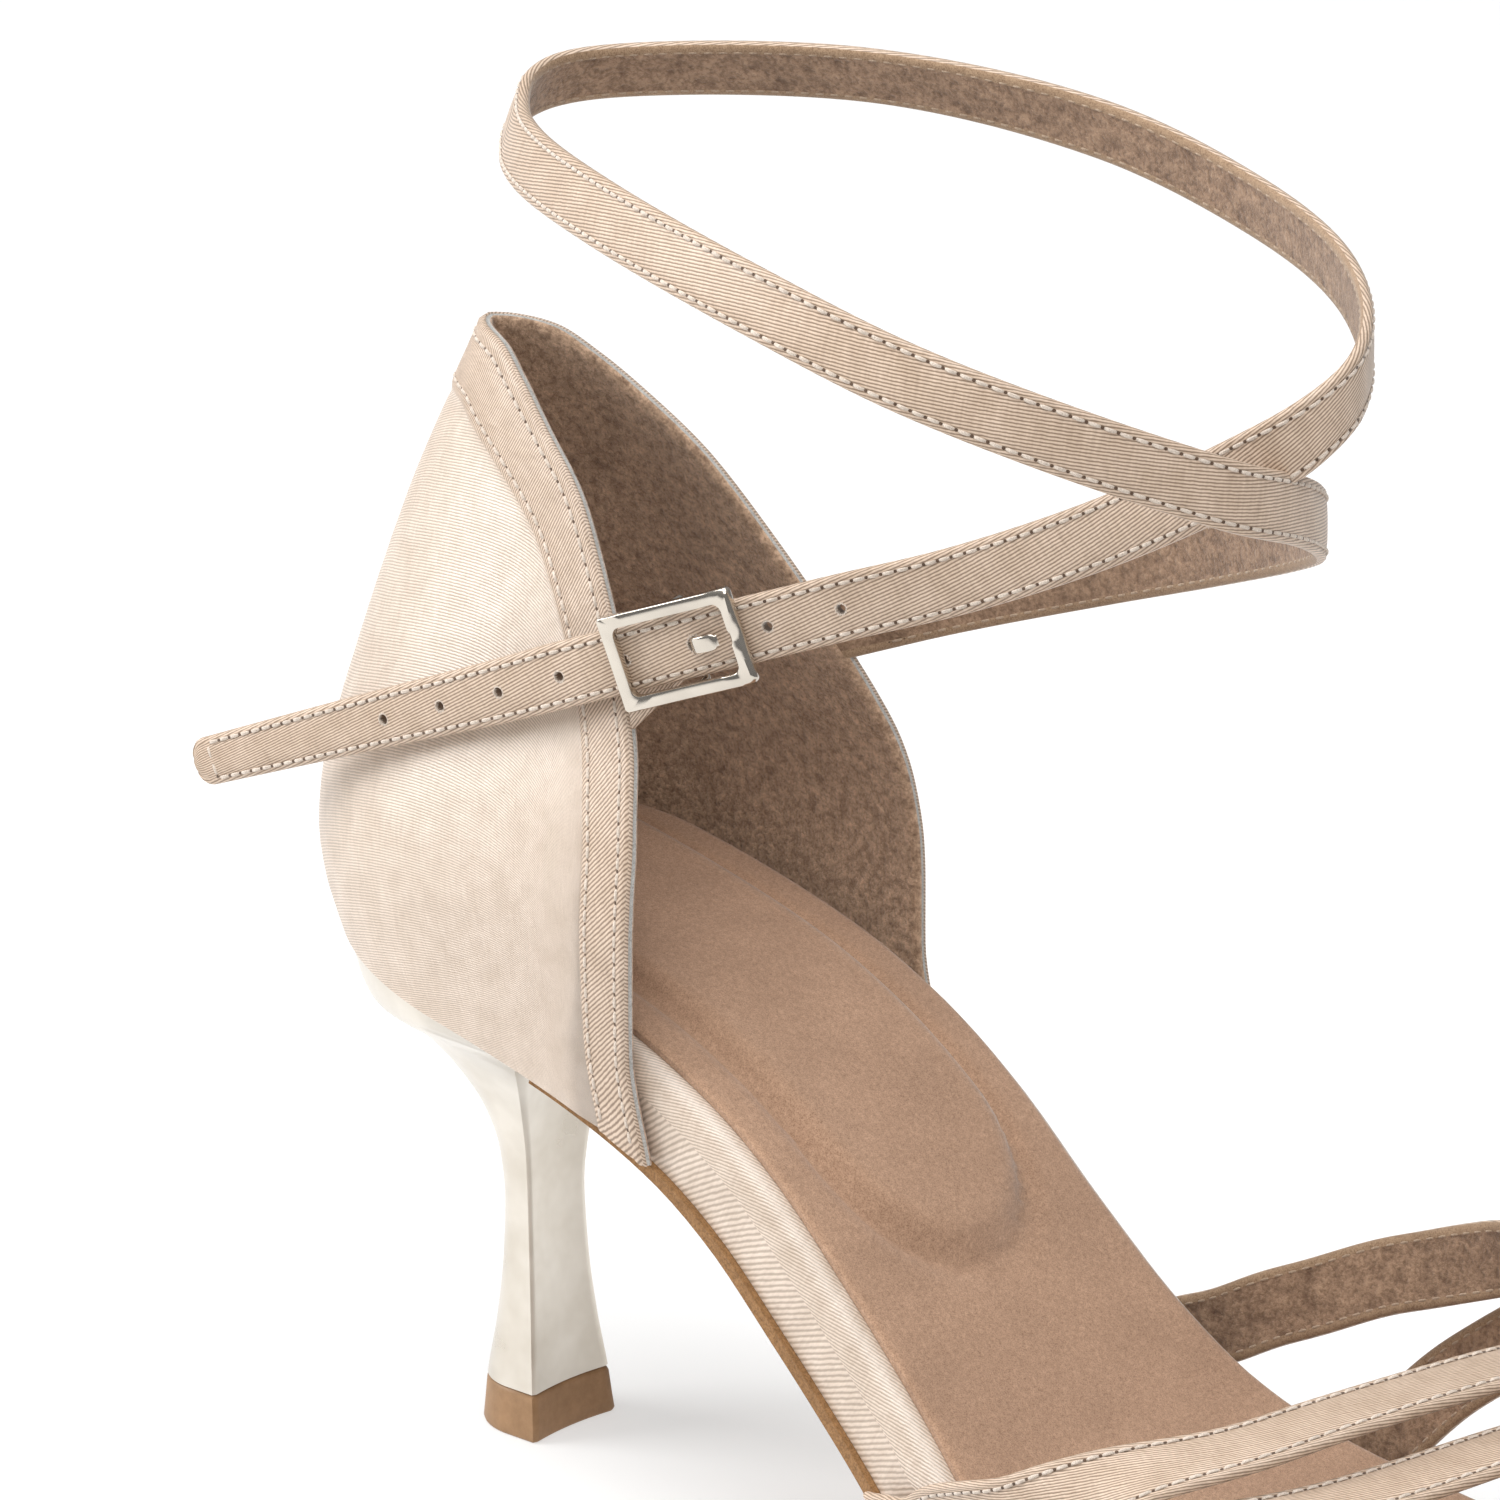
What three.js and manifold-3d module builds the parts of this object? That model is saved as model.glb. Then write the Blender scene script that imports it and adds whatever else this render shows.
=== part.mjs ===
import * as THREE from "three";
import { mergeVertices } from "three/addons/utils/BufferGeometryUtils.js";
import Module from "manifold-3d";

// Right ballroom dance shoe, millimetres. +X runs to the toe, +Y to the inner side of the foot,
// +Z up, and the origin lies on the ground face of the heel tip.

// Sole and footbed
const SOLE_LENGTH = 228;
const SOLE_BACK = -23.7;
const BALL_WIDTH = 78;
const SEAT_HEIGHT = 68;
const BOARD_THICKNESS = 10.2;
const BOARD_EDGE_RADIUS = 3.6;
const OUTSOLE_THICKNESS = 1.3;
const OUTSOLE_RIM = 0.9;
const OUTSOLE_START = 24.8;
const SOCK_THICKNESS = 1.2;
const SOCK_INSET = 3.2;
const PAD_RISE = 1.4;
const PAD_HALF_WIDTH = 14.5;
const PAD_END = 68;
const PAD_SLOPE = 4;
const GAP = 0.3;

// Heel
const HEEL_WIDTH = 52;
const TIP_HEIGHT = 6;
const BREAST_HOLLOW = 0.1;

// Counter
const COUNTER_HEIGHT = 140;
const COUNTER_WALL = 1.6;
const COUNTER_ROOM = 0.9;
const COUNTER_SIDE_TAPER = 0.0004;
const BINDING_STEP = 0.4;

// Straps
const STRAP_WIDTH = 7.9;
const STRAP_THICKNESS = 1.6;
const LOOP_REACH = 120;
const LOOP_SPREAD = 42;
const LOOP_TOP = 167;
const STRAP_TAIL = 60;
const ANKLE_STEPS = 90;
const HOLE_RADIUS = 0.9;
const HOLE_PITCH = 9.45;
const HOLE_COUNT = 8;
const HOLES_BEFORE_PRONG = 2;
const TOE_STRAP_WIDTH = 9.2;
const TOE_STRAP_THICKNESS = 1.6;
const TOE_STRAP_STEPS = 24;
const TOE_CLEARANCE = 0.4;
const INSTEP_HEIGHT = 49;
const DOME_POWER = 0.36;
const DOME_SPREAD = 2.2;
const STRAP_HEM = 100;

// Buckle
const BUCKLE_FROM_END = 78.2;
const FRAME_LENGTH = 17.5;
const FRAME_HEIGHT = 11.6;
const FRAME_BAR = 1.6;
const FRAME_THICKNESS = 1.3;
const BAR_RADIUS = 0.5;
const BAR_CLEARANCE = 0.3;
const PRONG_WIDTH = 1.1;
const PRONG_THICKNESS = 0.7;
const PRONG_AT = 1.9;
const PRONG_REACH = 5.4;
const TAB_WIDTH = 7.6;
const TAB_THICKNESS = 1;
const TAB_SLOT = 2.2;
const TAB_TOP_ROW = 5.75;
const TAB_LOW_ROW = 6.5;
const STRAP_TOP_ROW = 5.78;
const STRAP_LOW_ROW = 6.55;

// Underside of the board from the heel seat to the toe: along is a share of the sole length,
// up is a share of the seat height, thick of the board thickness.
const PROFILE = [
  { along: -0.02, up: 0.9957, thick: 1 },
  { along: 0, up: 0.9887, thick: 1 },
  { along: 0.06, up: 0.9607, thick: 1 },
  { along: 0.122, up: 0.9247, thick: 1 },
  { along: 0.192, up: 0.8717, thick: 1 },
  { along: 0.244, up: 0.8207, thick: 1 },
  { along: 0.297, up: 0.7467, thick: 0.96 },
  { along: 0.341, up: 0.6517, thick: 0.93 },
  { along: 0.393, up: 0.4997, thick: 0.91 },
  { along: 0.446, up: 0.3467, thick: 0.87 },
  { along: 0.498, up: 0.2147, thick: 0.83 },
  { along: 0.551, up: 0.1187, thick: 0.8 },
  { along: 0.603, up: 0.0567, thick: 0.76 },
  { along: 0.647, up: 0.0279, thick: 0.72 },
  { along: 0.69, up: 0.0235, thick: 0.7 },
  { along: 0.735, up: 0.0235, thick: 0.68 },
  { along: 0.775, up: 0.0235, thick: 0.66 },
  { along: 0.815, up: 0.0297, thick: 0.65 },
  { along: 0.875, up: 0.0577, thick: 0.61 },
  { along: 0.94, up: 0.1047, thick: 0.57 },
  { along: 1.01, up: 0.1717, thick: 0.53 },
];

// Outline of the board seen from above: along is a share of the sole length, outer and inner
// are the reaches to the two sides as shares of the ball width.
const OUTLINE = [
  { along: 0.0136, outer: 0.0282, inner: 0.0282 },
  { along: 0.0175, outer: 0.0667, inner: 0.0667 },
  { along: 0.0285, outer: 0.1385, inner: 0.1385 },
  { along: 0.0522, outer: 0.2115, inner: 0.2115 },
  { along: 0.0908, outer: 0.2756, inner: 0.2756 },
  { along: 0.1303, outer: 0.3038, inner: 0.3038 },
  { along: 0.1917, outer: 0.3077, inner: 0.3077 },
  { along: 0.2531, outer: 0.3077, inner: 0.3077 },
  { along: 0.314, outer: 0.3077, inner: 0.3077 },
  { along: 0.376, outer: 0.316, inner: 0.306 },
  { along: 0.433, outer: 0.332, inner: 0.314 },
  { along: 0.49, outer: 0.37, inner: 0.344 },
  { along: 0.543, outer: 0.418, inner: 0.392 },
  { along: 0.595, outer: 0.461, inner: 0.449 },
  { along: 0.648, outer: 0.489, inner: 0.487 },
  { along: 0.7, outer: 0.495, inner: 0.505 },
  { along: 0.753, outer: 0.477, inner: 0.508 },
  { along: 0.806, outer: 0.436, inner: 0.49 },
  { along: 0.858, outer: 0.372, inner: 0.451 },
  { along: 0.911, outer: 0.277, inner: 0.385 },
  { along: 0.95, outer: 0.174, inner: 0.315 },
  { along: 0.981, outer: 0.064, inner: 0.237 },
  { along: 0.996, outer: -0.032, inner: 0.167 },
  { along: 1, outer: -0.07, inner: 0.128 },
];

// The counter's foot wraps the straight stretch of the heel seat.
const SEAT_ROW = OUTLINE[6];
const SEAT_WIDTH = BALL_WIDTH * (SEAT_ROW.outer + SEAT_ROW.inner);
const COUNTER_WIDTH = SEAT_WIDTH + 2 * (COUNTER_WALL + COUNTER_ROOM);

// Level sections of the counter: up and back are shares of the counter height, half is a
// share of the counter width, widest the place of the greatest width.
const COUNTER = [
  { up: 0.35, back: -0.1, half: 0.5, widest: 0.075 },
  { up: 0.43, back: -0.13, half: 0.5, widest: 0.075 },
  { up: 0.464, back: -0.15, half: 0.5, widest: 0.075 },
  { up: 0.483, back: -0.163, half: 0.5, widest: 0.075 },
  { up: 0.51, back: -0.178, half: 0.5, widest: 0.075 },
  { up: 0.55, back: -0.187, half: 0.497, widest: 0.076 },
  { up: 0.59, back: -0.185, half: 0.484, widest: 0.08 },
  { up: 0.643, back: -0.172, half: 0.45, widest: 0.09 },
  { up: 0.714, back: -0.152, half: 0.376, widest: 0.1 },
  { up: 0.786, back: -0.127, half: 0.308, widest: 0.107 },
  { up: 0.857, back: -0.098, half: 0.245, widest: 0.113 },
  { up: 0.929, back: -0.062, half: 0.18, widest: 0.12 },
  { up: 0.971, back: -0.04, half: 0.14, widest: 0.12 },
  { up: 1.01, back: -0.02, half: 0.107, widest: 0.12 },
];

// Collar edge, binding border and foot of the counter, from the middle of the back to the
// front corner, as shares of the counter height: edge and border give forward and up.
const COLLAR = [
  { edgeX: -0.03, edgeZ: 1, borderX: -0.06, borderZ: 0.938, foot: 0 },
  { edgeX: 0.02, edgeZ: 0.991, borderX: -0.02, borderZ: 0.934, foot: 0.12 },
  { edgeX: 0.058, edgeZ: 0.969, borderX: 0.008, borderZ: 0.921, foot: 0.24 },
  { edgeX: 0.104, edgeZ: 0.934, borderX: 0.059, borderZ: 0.895, foot: 0.36 },
  { edgeX: 0.151, edgeZ: 0.894, borderX: 0.111, borderZ: 0.858, foot: 0.48 },
  { edgeX: 0.199, edgeZ: 0.83, borderX: 0.158, borderZ: 0.8, foot: 0.6 },
  { edgeX: 0.242, edgeZ: 0.76, borderX: 0.198, borderZ: 0.737, foot: 0.71 },
  { edgeX: 0.275, edgeZ: 0.688, borderX: 0.227, borderZ: 0.672, foot: 0.81 },
  { edgeX: 0.293, edgeZ: 0.614, borderX: 0.243, borderZ: 0.607, foot: 0.89 },
  { edgeX: 0.297, edgeZ: 0.535, borderX: 0.247, borderZ: 0.535, foot: 0.95 },
  { edgeX: 0.296, edgeZ: 0.457, borderX: 0.25, borderZ: 0.46, foot: 0.99 },
  { edgeX: 0.314, edgeZ: 0.366, borderX: 0.264, borderZ: 0.388, foot: 1 },
];
const FOOT_END = 0.24;

// Heel from the ground to the seat: up is a share of the seat height, the rest are shares of
// the heel width.
const HEEL = [
  { up: 0, breast: 0.127, half: 0.14, back: -0.127 },
  { up: 0.09, breast: 0.117, half: 0.129, back: -0.112 },
  { up: 0.2, breast: 0.102, half: 0.112, back: -0.08 },
  { up: 0.32, breast: 0.091, half: 0.1, back: -0.056 },
  { up: 0.44, breast: 0.087, half: 0.096, back: -0.045 },
  { up: 0.53, breast: 0.094, half: 0.105, back: -0.056 },
  { up: 0.61, breast: 0.113, half: 0.133, back: -0.092 },
  { up: 0.68, breast: 0.15, half: 0.18, back: -0.155 },
  { up: 0.74, breast: 0.2, half: 0.24, back: -0.221 },
  { up: 0.79, breast: 0.27, half: 0.315, back: -0.273 },
  { up: 0.83, breast: 0.36, half: 0.4, back: -0.317 },
  { up: 0.862, breast: 0.46, half: 0.46, back: -0.346 },
  { up: 0.91, breast: 0.52, half: 0.485, back: -0.375 },
  { up: 1.03, breast: 0.52, half: 0.49, back: -0.42 },
];

// Centre line of the ankle strap from the inner side of the counter to its free end: ahead,
// aside and above are shares of the loop sizes, lean tips the top edge inward in degrees.
const ANKLE_PATH = [
  { ahead: 0.315, aside: 0.438, above: 0.63, lean: 0 },
  { ahead: 0.398, aside: 0.619, above: 0.649, lean: 0 },
  { ahead: 0.536, aside: 0.762, above: 0.68, lean: 0 },
  { ahead: 0.657, aside: 0.786, above: 0.709, lean: 0 },
  { ahead: 0.804, aside: 0.667, above: 0.75, lean: 0 },
  { ahead: 0.895, aside: 0.476, above: 0.782, lean: 0 },
  { ahead: 0.953, aside: 0.19, above: 0.818, lean: 0 },
  { ahead: 0.96, aside: -0.119, above: 0.848, lean: 2 },
  { ahead: 0.862, aside: -0.476, above: 0.894, lean: 8 },
  { ahead: 0.727, aside: -0.667, above: 0.93, lean: 12 },
  { ahead: 0.557, aside: -0.714, above: 0.963, lean: 15 },
  { ahead: 0.303, aside: -0.524, above: 0.981, lean: 18 },
  { ahead: 0.104, aside: -0.22, above: 0.98, lean: 20 },
  { ahead: 0.017, aside: -0.01, above: 0.98, lean: 20 },
  { ahead: -0.022, aside: 0.14, above: 0.988, lean: 22 },
  { ahead: -0.027, aside: 0.28, above: 0.994, lean: 24 },
  { ahead: 0.007, aside: 0.452, above: 0.997, lean: 26 },
  { ahead: 0.227, aside: 0.81, above: 1.001, lean: 24 },
  { ahead: 0.467, aside: 1, above: 0.981, lean: 12 },
  { ahead: 0.657, aside: 1, above: 0.951, lean: 6 },
  { ahead: 0.823, aside: 0.81, above: 0.931, lean: 2 },
  { ahead: 0.937, aside: 0.524, above: 0.912, lean: 0 },
  { ahead: 0.978, aside: 0.31, above: 0.895, lean: 0 },
  { ahead: 0.967, aside: 0.143, above: 0.873, lean: 0 },
  { ahead: 0.911, aside: 0.048, above: 0.844, lean: 0 },
  { ahead: 0.77, aside: -0.012, above: 0.788, lean: 0 },
  { ahead: 0.628, aside: -0.119, above: 0.742, lean: 0 },
  { ahead: 0.513, aside: -0.25, above: 0.713, lean: 0 },
  { ahead: 0.37, aside: -0.41, above: 0.676, lean: 0 },
  { ahead: 0.26, aside: -0.5, above: 0.647, lean: 0 },
  { ahead: 0.154, aside: -0.545, above: 0.617, lean: 0 },
  { ahead: -0.004, aside: -0.58, above: 0.574, lean: 0 },
  { ahead: -0.238, aside: -0.619, above: 0.509, lean: 0 },
];

// Top of the foot that the toe straps follow: rise is the height over the board underside
// as a share of the instep height.
const DOME = [
  { along: 0.4, rise: 0.7, skew: 0.14 },
  { along: 0.47, rise: 0.78, skew: 0.13 },
  { along: 0.52, rise: 0.89, skew: 0.12 },
  { along: 0.58, rise: 0.97, skew: 0.14 },
  { along: 0.63, rise: 0.97, skew: 0.17 },
  { along: 0.7, rise: 0.89, skew: 0.22 },
  { along: 0.76, rise: 0.775, skew: 0.24 },
  { along: 0.82, rise: 0.68, skew: 0.22 },
  { along: 0.89, rise: 0.52, skew: 0.18 },
  { along: 0.99, rise: 0.32, skew: 0.14 },
];

// Course of a toe strap over the foot: round goes from the side where it starts to the other
// side, outer and inner are the shares of its advance to the toe for either starting side.
const STRAP_COURSE = [
  { round: -0.06, outer: -0.07, inner: -0.07 },
  { round: 0, outer: 0, inner: 0 },
  { round: 0.05, outer: 0.065, inner: 0.05 },
  { round: 0.13, outer: 0.14, inner: 0.13 },
  { round: 0.18, outer: 0.21, inner: 0.2 },
  { round: 0.23, outer: 0.29, inner: 0.29 },
  { round: 0.28, outer: 0.36, inner: 0.4 },
  { round: 0.34, outer: 0.45, inner: 0.56 },
  { round: 0.42, outer: 0.59, inner: 0.71 },
  { round: 0.5, outer: 0.705, inner: 0.82 },
  { round: 0.6, outer: 0.81, inner: 0.9 },
  { round: 0.75, outer: 0.92, inner: 0.96 },
  { round: 1, outer: 1, inner: 1 },
  { round: 1.06, outer: 1.01, inner: 1.01 },
];

// Toe straps: from and to are shares of the sole length at the two ends, side is the side
// where the strap starts, layer its height over the other straps as a share of their thickness.
const TOE_STRAPS = [
  { from: 0.478, to: 0.85, side: "outer", layer: 0.75 },
  { from: 0.53, to: 0.898, side: "outer", layer: 0.75 },
  { from: 0.582, to: 0.945, side: "outer", layer: 0.75 },
  { from: 0.452, to: 0.9, side: "inner", layer: 0 },
  { from: 0.55, to: 0.94, side: "inner", layer: 0 },
];

const SATIN = new THREE.MeshStandardMaterial({ color: 0xd7c1af, roughness: 0.45 });
const SUEDE = new THREE.MeshStandardMaterial({ color: 0xa0806b, roughness: 0.95 });
const SOLE_SUEDE = new THREE.MeshStandardMaterial({ color: 0xa5804f, roughness: 0.95 });
const PLATED = new THREE.MeshStandardMaterial({ color: 0xe1dacd, roughness: 0.3, metalness: 0.6 });
const TIP_PLASTIC = new THREE.MeshStandardMaterial({ color: 0x946e4a, roughness: 0.55 });
const NICKEL = new THREE.MeshStandardMaterial({ color: 0xd8cfc2, roughness: 0.2, metalness: 1 });

const wasm = await Module();
wasm.setup();

// Tables

const clamp = (value, low, high) => Math.min(high, Math.max(low, value));
const lerp = (a, b, share) => a + (b - a) * share;

/** Smooth lookup in a column of a table that never overshoots its rows. */
function column(rows, name, by) {
  const xs = rows.map((row, i) => (by ? row[by] : i));
  const ys = rows.map((row) => row[name]);
  const steps = xs.slice(1).map((x, i) => (ys[i + 1] - ys[i]) / (x - xs[i]));
  const slopes = xs.map((_, i) => {
    if (i === 0) return steps[0];
    if (i === xs.length - 1) return steps[i - 1];
    if (steps[i - 1] * steps[i] <= 0) return 0;
    const before = xs[i] - xs[i - 1];
    const after = xs[i + 1] - xs[i];
    const first = 2 * after + before;
    const second = after + 2 * before;
    return (first + second) / (first / steps[i - 1] + second / steps[i]);
  });
  return (at) => {
    const x = clamp(at, xs[0], xs[xs.length - 1]);
    let i = 0;
    while (i < xs.length - 2 && x > xs[i + 1]) i += 1;
    const span = xs[i + 1] - xs[i];
    const t = (x - xs[i]) / span;
    const u = 1 - t;
    return (
      u * u * (1 + 2 * t) * ys[i] +
      t * t * (3 - 2 * t) * ys[i + 1] +
      span * t * u * (u * slopes[i] - t * slopes[i + 1])
    );
  };
}

// Closed bodies from grids of points

/** Body between two grids of points of the same size, closed along their four borders. */
function thickGrid(top, bottom) {
  const rows = top.length;
  const cols = top[0].length;
  const points = [...top.flat(), ...bottom.flat()];
  const faces = [];
  const upper = (i, j) => i * cols + j;
  const lower = (i, j) => rows * cols + i * cols + j;
  const quad = (a, b, c, d) => faces.push(a, b, c, a, c, d);
  for (let i = 0; i < rows - 1; i += 1) {
    for (let j = 0; j < cols - 1; j += 1) {
      quad(upper(i, j), upper(i + 1, j), upper(i + 1, j + 1), upper(i, j + 1));
      quad(lower(i, j), lower(i, j + 1), lower(i + 1, j + 1), lower(i + 1, j));
    }
    quad(upper(i, 0), lower(i, 0), lower(i + 1, 0), upper(i + 1, 0));
    quad(upper(i, cols - 1), upper(i + 1, cols - 1), lower(i + 1, cols - 1), lower(i, cols - 1));
  }
  for (let j = 0; j < cols - 1; j += 1) {
    quad(upper(0, j), upper(0, j + 1), lower(0, j + 1), lower(0, j));
    quad(upper(rows - 1, j), lower(rows - 1, j), lower(rows - 1, j + 1), upper(rows - 1, j + 1));
  }
  return facing(points, faces);
}

/** Body through closed sections with the same number of points, capped at both ends. */
function loft(sections) {
  const count = sections[0].length;
  const points = sections.flat();
  const faces = [];
  for (let i = 0; i < sections.length - 1; i += 1) {
    for (let j = 0; j < count; j += 1) {
      const a = i * count + j;
      const b = i * count + ((j + 1) % count);
      faces.push(a, b, b + count, a, b + count, a + count);
    }
  }
  const last = (sections.length - 1) * count;
  for (let j = 1; j < count - 1; j += 1) {
    faces.push(0, j + 1, j);
    faces.push(last, last + j, last + j + 1);
  }
  return facing(points, faces);
}

/** Geometry from points and faces, turned so that its faces point out. */
function facing(points, faces) {
  let volume = 0;
  for (let i = 0; i < faces.length; i += 3) {
    const [a, b, c] = [points[faces[i]], points[faces[i + 1]], points[faces[i + 2]]];
    volume += a.dot(b.clone().cross(c));
  }
  const order = volume < 0 ? [...faces].reverse() : faces;
  const geometry = new THREE.BufferGeometry().setFromPoints(points);
  geometry.setIndex(order);
  return geometry;
}

function solid(geometry) {
  const bare = geometry.clone();
  bare.deleteAttribute("normal");
  bare.deleteAttribute("uv");
  const merged = mergeVertices(bare, 1e-4);
  const vertProperties = merged.attributes.position.array;
  const body = (triVerts) => new wasm.Manifold(new wasm.Mesh({ numProp: 3, vertProperties, triVerts }));
  const made = body(new Uint32Array(merged.index.array));
  return made.volume() > 0 ? made : body(new Uint32Array(merged.index.array).reverse());
}

function geometryOf(body) {
  const mesh = body.getMesh();
  const geometry = new THREE.BufferGeometry();
  geometry.setAttribute("position", new THREE.BufferAttribute(mesh.vertProperties, 3));
  geometry.setIndex(new THREE.BufferAttribute(mesh.triVerts, 1));
  return geometry;
}

// Sole line and outline

const profileUp = column(PROFILE, "up", "along");
const profileThick = column(PROFILE, "thick", "along");
const share = (x) => (x - SOLE_BACK) / SOLE_LENGTH;
const feather = (x) => SEAT_HEIGHT * profileUp(share(x));
const boardThickness = (x) => BOARD_THICKNESS * profileThick(share(x));

/** Point at a height over the board underside, measured square to it. */
function overSole(x, y, height) {
  const reach = 0.5;
  const rise = feather(x + reach) - feather(x - reach);
  const length = Math.hypot(2 * reach, rise);
  return new THREE.Vector3(
    x - (height * rise) / length,
    y,
    feather(x) + (height * 2 * reach) / length,
  );
}

const outlineAlong = column(OUTLINE, "along");
const outlineOuter = column(OUTLINE, "outer");
const outlineInner = column(OUTLINE, "inner");

/** Point of the outline on one side, moved inward by an inset. */
function outlinePoint(row, side, inset) {
  const reach = side === "outer" ? outlineOuter : outlineInner;
  const sign = side === "outer" ? -1 : 1;
  const at = (r) => new THREE.Vector2(
    SOLE_BACK + SOLE_LENGTH * outlineAlong(r),
    sign * BALL_WIDTH * reach(r),
  );
  const step = 0.2;
  const last = OUTLINE.length - 1;
  const tangent = at(clamp(row + step, 0, last)).sub(at(clamp(row - step, 0, last))).normalize();
  const inward = new THREE.Vector2(tangent.y, -tangent.x).multiplyScalar(sign);
  return at(row).addScaledVector(inward, inset);
}

const OUTLINE_STEPS = 4;
const BORDER = ["outer", "inner"].flatMap((side) =>
  Array.from({ length: (OUTLINE.length - 1) * OUTLINE_STEPS + 1 }, (_, i) =>
    outlinePoint(i / OUTLINE_STEPS, side, 0),
  ),
);

/** Distance in plan from a point to the outline of the board. */
const borderDistance = (x, y) => Math.min(...BORDER.map((p) => Math.hypot(p.x - x, p.y - y)));

/** Layer of the sole between two heights, with extra columns near both edges. */
function soleLayer({ first, perRow, inset, edges, middle, under, over }) {
  const rows = [];
  for (let r = first; r <= OUTLINE.length - 1 + 1e-6; r += 1 / perRow) rows.push(r);
  const stations = rows.map((r) => {
    const a = outlinePoint(r, "outer", inset);
    const b = outlinePoint(r, "inner", inset);
    const width = a.distanceTo(b);
    const near = edges.map((edge) => Math.min(edge, width * 0.35) / width);
    const rest = Array.from({ length: middle }, (_, i) => {
      const start = near[near.length - 1];
      return lerp(start, 1 - start, (i + 1) / (middle + 1));
    });
    const shares = [...near, ...rest, ...near.map((n) => 1 - n).reverse()];
    return shares.map((s) => a.clone().lerp(b, s));
  });
  const grid = (height) => stations.map((row) => row.map((p) => overSole(p.x, p.y, height(p.x, p.y))));
  return thickGrid(grid(over), grid(under));
}

/** Row of the outline table where the board reaches a place along the sole. */
function outlineRowAt(x) {
  let low = 0;
  let high = OUTLINE.length - 1;
  for (let i = 0; i < 40; i += 1) {
    const mid = (low + high) / 2;
    if (outlineAlong(mid) < share(x)) low = mid;
    else high = mid;
  }
  return low;
}

function makeBoard() {
  const angles = [0, 0.5, 1].map((s) => (s * Math.PI) / 2);
  const edges = angles.map((angle) => BOARD_EDGE_RADIUS * (1 - Math.cos(angle)));
  return soleLayer({
    first: 0,
    perRow: 2,
    inset: 0,
    edges,
    middle: 2,
    under: () => 0,
    over: (x, y) => {
      const away = Math.min(borderDistance(x, y), BOARD_EDGE_RADIUS);
      const fall = BOARD_EDGE_RADIUS - Math.sqrt(BOARD_EDGE_RADIUS ** 2 - (BOARD_EDGE_RADIUS - away) ** 2);
      return boardThickness(x) - fall;
    },
  });
}

/** Height of the raised heel pad over the sock. */
function padRise(x, y) {
  const round = Math.max(0, x - (PAD_END - PAD_HALF_WIDTH));
  const away = PAD_HALF_WIDTH - Math.hypot(round, y);
  const t = clamp(away / PAD_SLOPE, 0, 1);
  return PAD_RISE * t * t * (3 - 2 * t);
}

function makeSock() {
  return soleLayer({
    first: 0.5,
    perRow: 1.5,
    inset: SOCK_INSET,
    edges: [0],
    middle: 10,
    under: (x) => boardThickness(x) + GAP,
    over: (x, y) => boardThickness(x) + GAP + SOCK_THICKNESS + padRise(x, y),
  });
}

function makeOutsole() {
  return soleLayer({
    first: outlineRowAt(OUTSOLE_START),
    perRow: 2,
    inset: -OUTSOLE_RIM,
    edges: [0, 1],
    middle: 1,
    under: () => -GAP - OUTSOLE_THICKNESS,
    over: () => -GAP,
  });
}

/** Block that fills all the space above or below the board underside. */
function soleBlock(height, upward) {
  const from = SOLE_BACK - SOLE_LENGTH * 0.05;
  const to = SOLE_BACK + SOLE_LENGTH * 1.05;
  const line = Array.from({ length: 61 }, (_, i) => {
    const p = overSole(lerp(from, to, i / 60), 0, height);
    return new THREE.Vector2(p.x, p.z);
  });
  const limit = upward ? SEAT_HEIGHT * 4 : -SEAT_HEIGHT;
  const shape = new THREE.Shape([
    ...line,
    new THREE.Vector2(line[line.length - 1].x, limit),
    new THREE.Vector2(line[0].x, limit),
  ]);
  const block = new THREE.ExtrudeGeometry(shape, { depth: BALL_WIDTH * 2, bevelEnabled: false });
  block.rotateX(Math.PI / 2).translate(0, BALL_WIDTH, 0);
  return solid(block);
}

// Heel

const heelColumns = ["breast", "half", "back"].map((name) => column(HEEL, name, "up"));

/** Level section of the heel: a hollow breast in front and a rounded back. */
function heelSection(z, shrink) {
  const [breast, half, back] = heelColumns.map((read) => HEEL_WIDTH * read(z / SEAT_HEIGHT));
  const front = breast - shrink;
  const wide = half - shrink;
  const rear = back + shrink;
  const straight = lerp(front, rear, 0.35);
  const points = [];
  const breastPoints = 6;
  for (let i = 0; i <= breastPoints; i += 1) {
    const s = (2 * i) / breastPoints - 1;
    points.push(new THREE.Vector3(front - BREAST_HOLLOW * wide * (1 - s * s), s * wide, z));
  }
  const backPoints = 14;
  for (let i = 0; i <= backPoints; i += 1) {
    const angle = (Math.PI * i) / backPoints;
    const x = straight - (straight - rear) * Math.sin(angle) ** 0.9;
    points.push(new THREE.Vector3(x, wide * 0.97 * Math.cos(angle), z));
  }
  return points;
}

function levels(from, to, count) {
  return Array.from({ length: count + 1 }, (_, i) => lerp(from, to, i / count));
}

function makeHeel() {
  const rise = [
    ...levels(TIP_HEIGHT + GAP, SEAT_HEIGHT * 0.6, 7),
    ...levels(SEAT_HEIGHT * 0.66, SEAT_HEIGHT * 0.88, 6),
    SEAT_HEIGHT * 0.94,
    SEAT_HEIGHT * 1.03,
  ];
  const column = loft(rise.map((z) => heelSection(z, 0)));
  return geometryOf(solid(column).subtract(soleBlock(-GAP, true)));
}

function makeHeelTip() {
  const round = 0.35;
  return loft([
    heelSection(0, round),
    heelSection(round, 0),
    heelSection(TIP_HEIGHT - round, 0),
    heelSection(TIP_HEIGHT, round),
  ]);
}

// Counter

const counterColumns = ["back", "half", "widest"].map((name) => column(COUNTER, name, "up"));

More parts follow.
